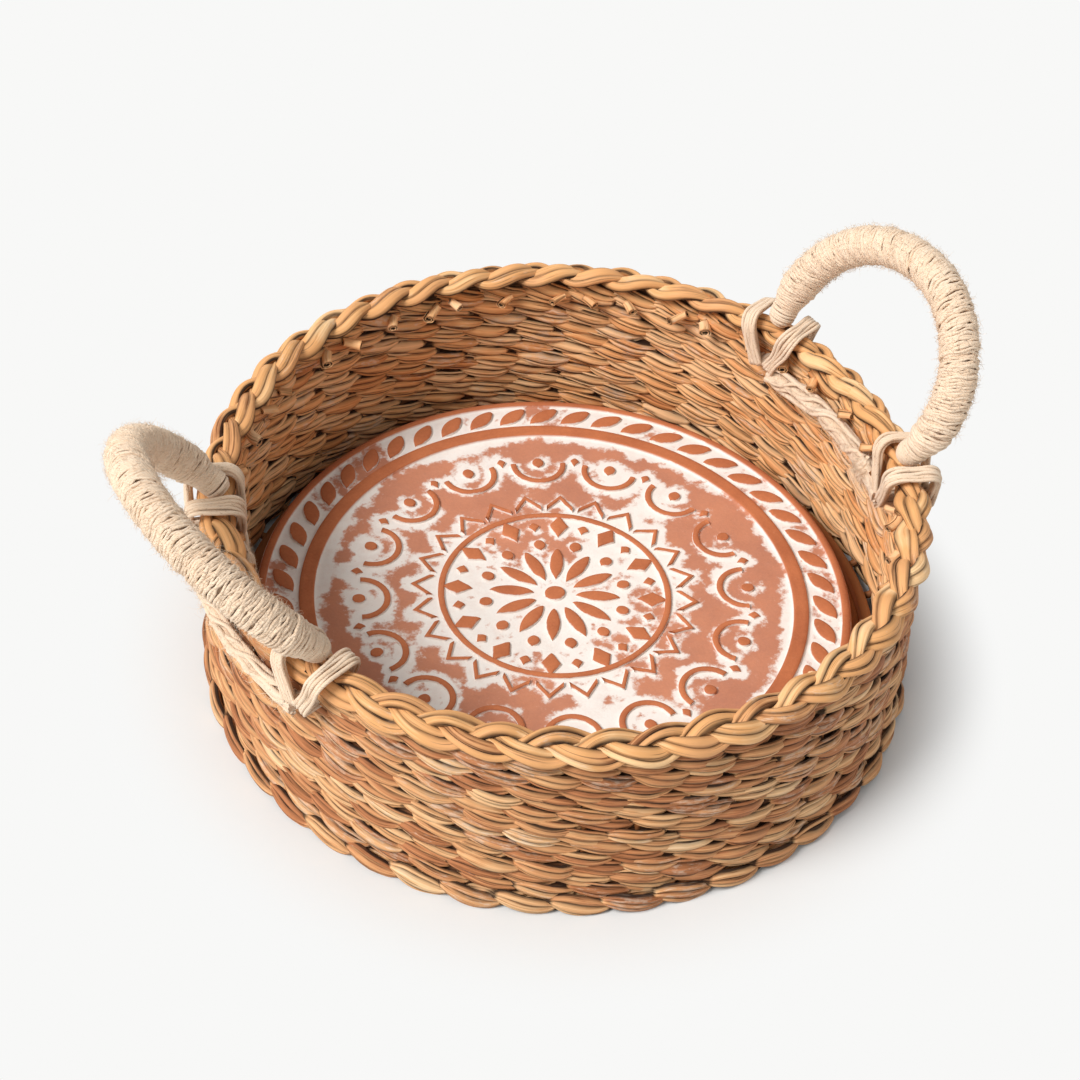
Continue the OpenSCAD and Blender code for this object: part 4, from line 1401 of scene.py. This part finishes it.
class SetStage(BuildStep):
    """Set the floor, the light and the camera"""
    bl_idname = "basket.set_stage"
    bl_label = "Set the stage"

    def execute(self, context):
        stage = context.scene.basket_stage
        self.place_camera(context, stage)
        self.lay_floor(context, stage)
        self.light(context, stage)
        context.scene.view_settings.view_transform = "Standard"
        return {"FINISHED"}

    @staticmethod
    def place_camera(context, stage):
        """A camera that looks at the basket's axis from the set direction."""
        azimuth, elevation, roll = stage.azimuth, stage.elevation, stage.roll
        back = Vector((math.sin(azimuth) * math.cos(elevation),
                       -math.cos(azimuth) * math.cos(elevation), math.sin(elevation)))
        level = Vector((math.cos(azimuth), math.sin(azimuth), 0))
        right = level * math.cos(roll) + back.cross(level) * math.sin(roll)
        up = back.cross(right)
        camera = bpy.data.cameras.new("Camera")
        camera.lens = stage.lens
        camera.sensor_width = 36
        camera.shift_x = stage.shift_x
        camera.shift_y = stage.shift_y
        camera.clip_start = 0.01
        made = bpy.data.objects.new("Camera", camera)
        turn = Matrix((right, up, back)).transposed().to_4x4()
        seat = Vector((0, 0, stage.height)) + back * stage.distance
        made.matrix_world = Matrix.Translation(seat) @ turn
        context.scene.collection.objects.link(made)
        context.scene.camera = made

    def lay_floor(self, context, stage):
        """A floor that takes the basket's shadow and turns to the plain backdrop further out."""
        half = stage.half_floor
        corners = [(-half, -half, 0), (half, -half, 0), (half, half, 0), (-half, half, 0)]
        mesh = bpy.data.meshes.new("floor")
        mesh.from_pydata(corners, [], [(0, 1, 2, 3)])
        shader = Shader(bpy.data.materials.new("Floor"))
        lit = shader.node("ShaderNodeBsdfDiffuse", {}, {"Color": self.colours().floor_near})
        plain = shader.node("ShaderNodeEmission", {}, {"Color": self.colours().floor})
        seen = shader.node("ShaderNodeLightPath").of("Is Camera Ray")
        place = shader.node("ShaderNodeTexCoord").of("Object")
        away = shader.node("ShaderNodeVectorMath", {"operation": "LENGTH"}, {0: place}).of("Value")
        far = away.step(stage.shadow_in, stage.shadow_out)
        surface = shader.node("ShaderNodeMixShader", {}, {0: seen * far, 1: lit, 2: plain})
        shader.node("ShaderNodeOutputMaterial", {}, {"Surface": surface})
        mesh.materials.append(shader.owner)
        floor = bpy.data.objects.new("floor", mesh)
        context.scene.collection.objects.link(floor)

    def light(self, context, stage):
        """A soft key light, and a sky that is plain behind the basket and dimmer on it."""
        world = bpy.data.worlds.new("Studio")
        sky = Shader(world)
        path = sky.node("ShaderNodeLightPath")
        seen = (path.of("Is Camera Ray") + path.of("Is Glossy Ray")
                + path.of("Is Transmission Ray")).clamped()
        strength = seen * (1 - stage.fill) + stage.fill
        surface = sky.node("ShaderNodeBackground", {}, {"Color": self.colours().floor,
                                                        "Strength": strength})
        sky.node("ShaderNodeOutputWorld", {}, {"Surface": surface})
        context.scene.world = world
        sun = bpy.data.lights.new("Key", "SUN")
        sun.energy = stage.key
        sun.angle = stage.key_angle
        key = bpy.data.objects.new("Key", sun)
        key.rotation_euler = (0, math.pi / 2 - stage.key_elevation, stage.key_azimuth)
        context.scene.collection.objects.link(key)


STEPS = (WeaveWall, WeaveFoot, PlaitRim, CurlEnds, CarveTile, WindHandles, LashHandles, LayRuns,
         SetStage)
SETTINGS = {"basket_weave": WeaveSettings, "basket_rim": RimSettings,
            "basket_tile": TileSettings, "basket_handles": HandleSettings,
            "basket_cords": CordSettings, "basket_colours": ColourSettings,
            "basket_stage": StageSettings}


class BasketPanel(bpy.types.Panel):
    """The sizes, the colours and the steps that make the basket"""
    bl_idname = "VIEW3D_PT_basket"
    bl_label = "Bread Warmer Basket"
    bl_space_type = "VIEW_3D"
    bl_region_type = "UI"
    bl_category = "Basket"

    def draw(self, context):
        for label, group in SETTINGS.items():
            box = self.layout.box()
            box.label(text=group.__doc__)
            for key in group.__annotations__:
                box.prop(getattr(context.scene, label), key)
        for step in STEPS:
            self.layout.operator(step.bl_idname)


def register():
    for group in SETTINGS.values():
        bpy.utils.register_class(group)
    for label, group in SETTINGS.items():
        setattr(bpy.types.Scene, label, PointerProperty(type=group))
    for step in STEPS + (BasketPanel,):
        bpy.utils.register_class(step)


def unregister():
    for step in reversed(STEPS + (BasketPanel,)):
        bpy.utils.unregister_class(step)
    for label in SETTINGS:
        delattr(bpy.types.Scene, label)
    for group in reversed(list(SETTINGS.values())):
        bpy.utils.unregister_class(group)


def main():
    register()
    bpy.ops.basket.weave_wall()
    bpy.ops.basket.weave_foot()
    bpy.ops.basket.plait_rim()
    bpy.ops.basket.curl_ends()
    bpy.ops.basket.carve_tile()
    bpy.ops.basket.wind_handles()
    bpy.ops.basket.lash_handles()
    bpy.ops.basket.lay_runs()
    bpy.ops.basket.set_stage()


if __name__ == "__main__":
    main()
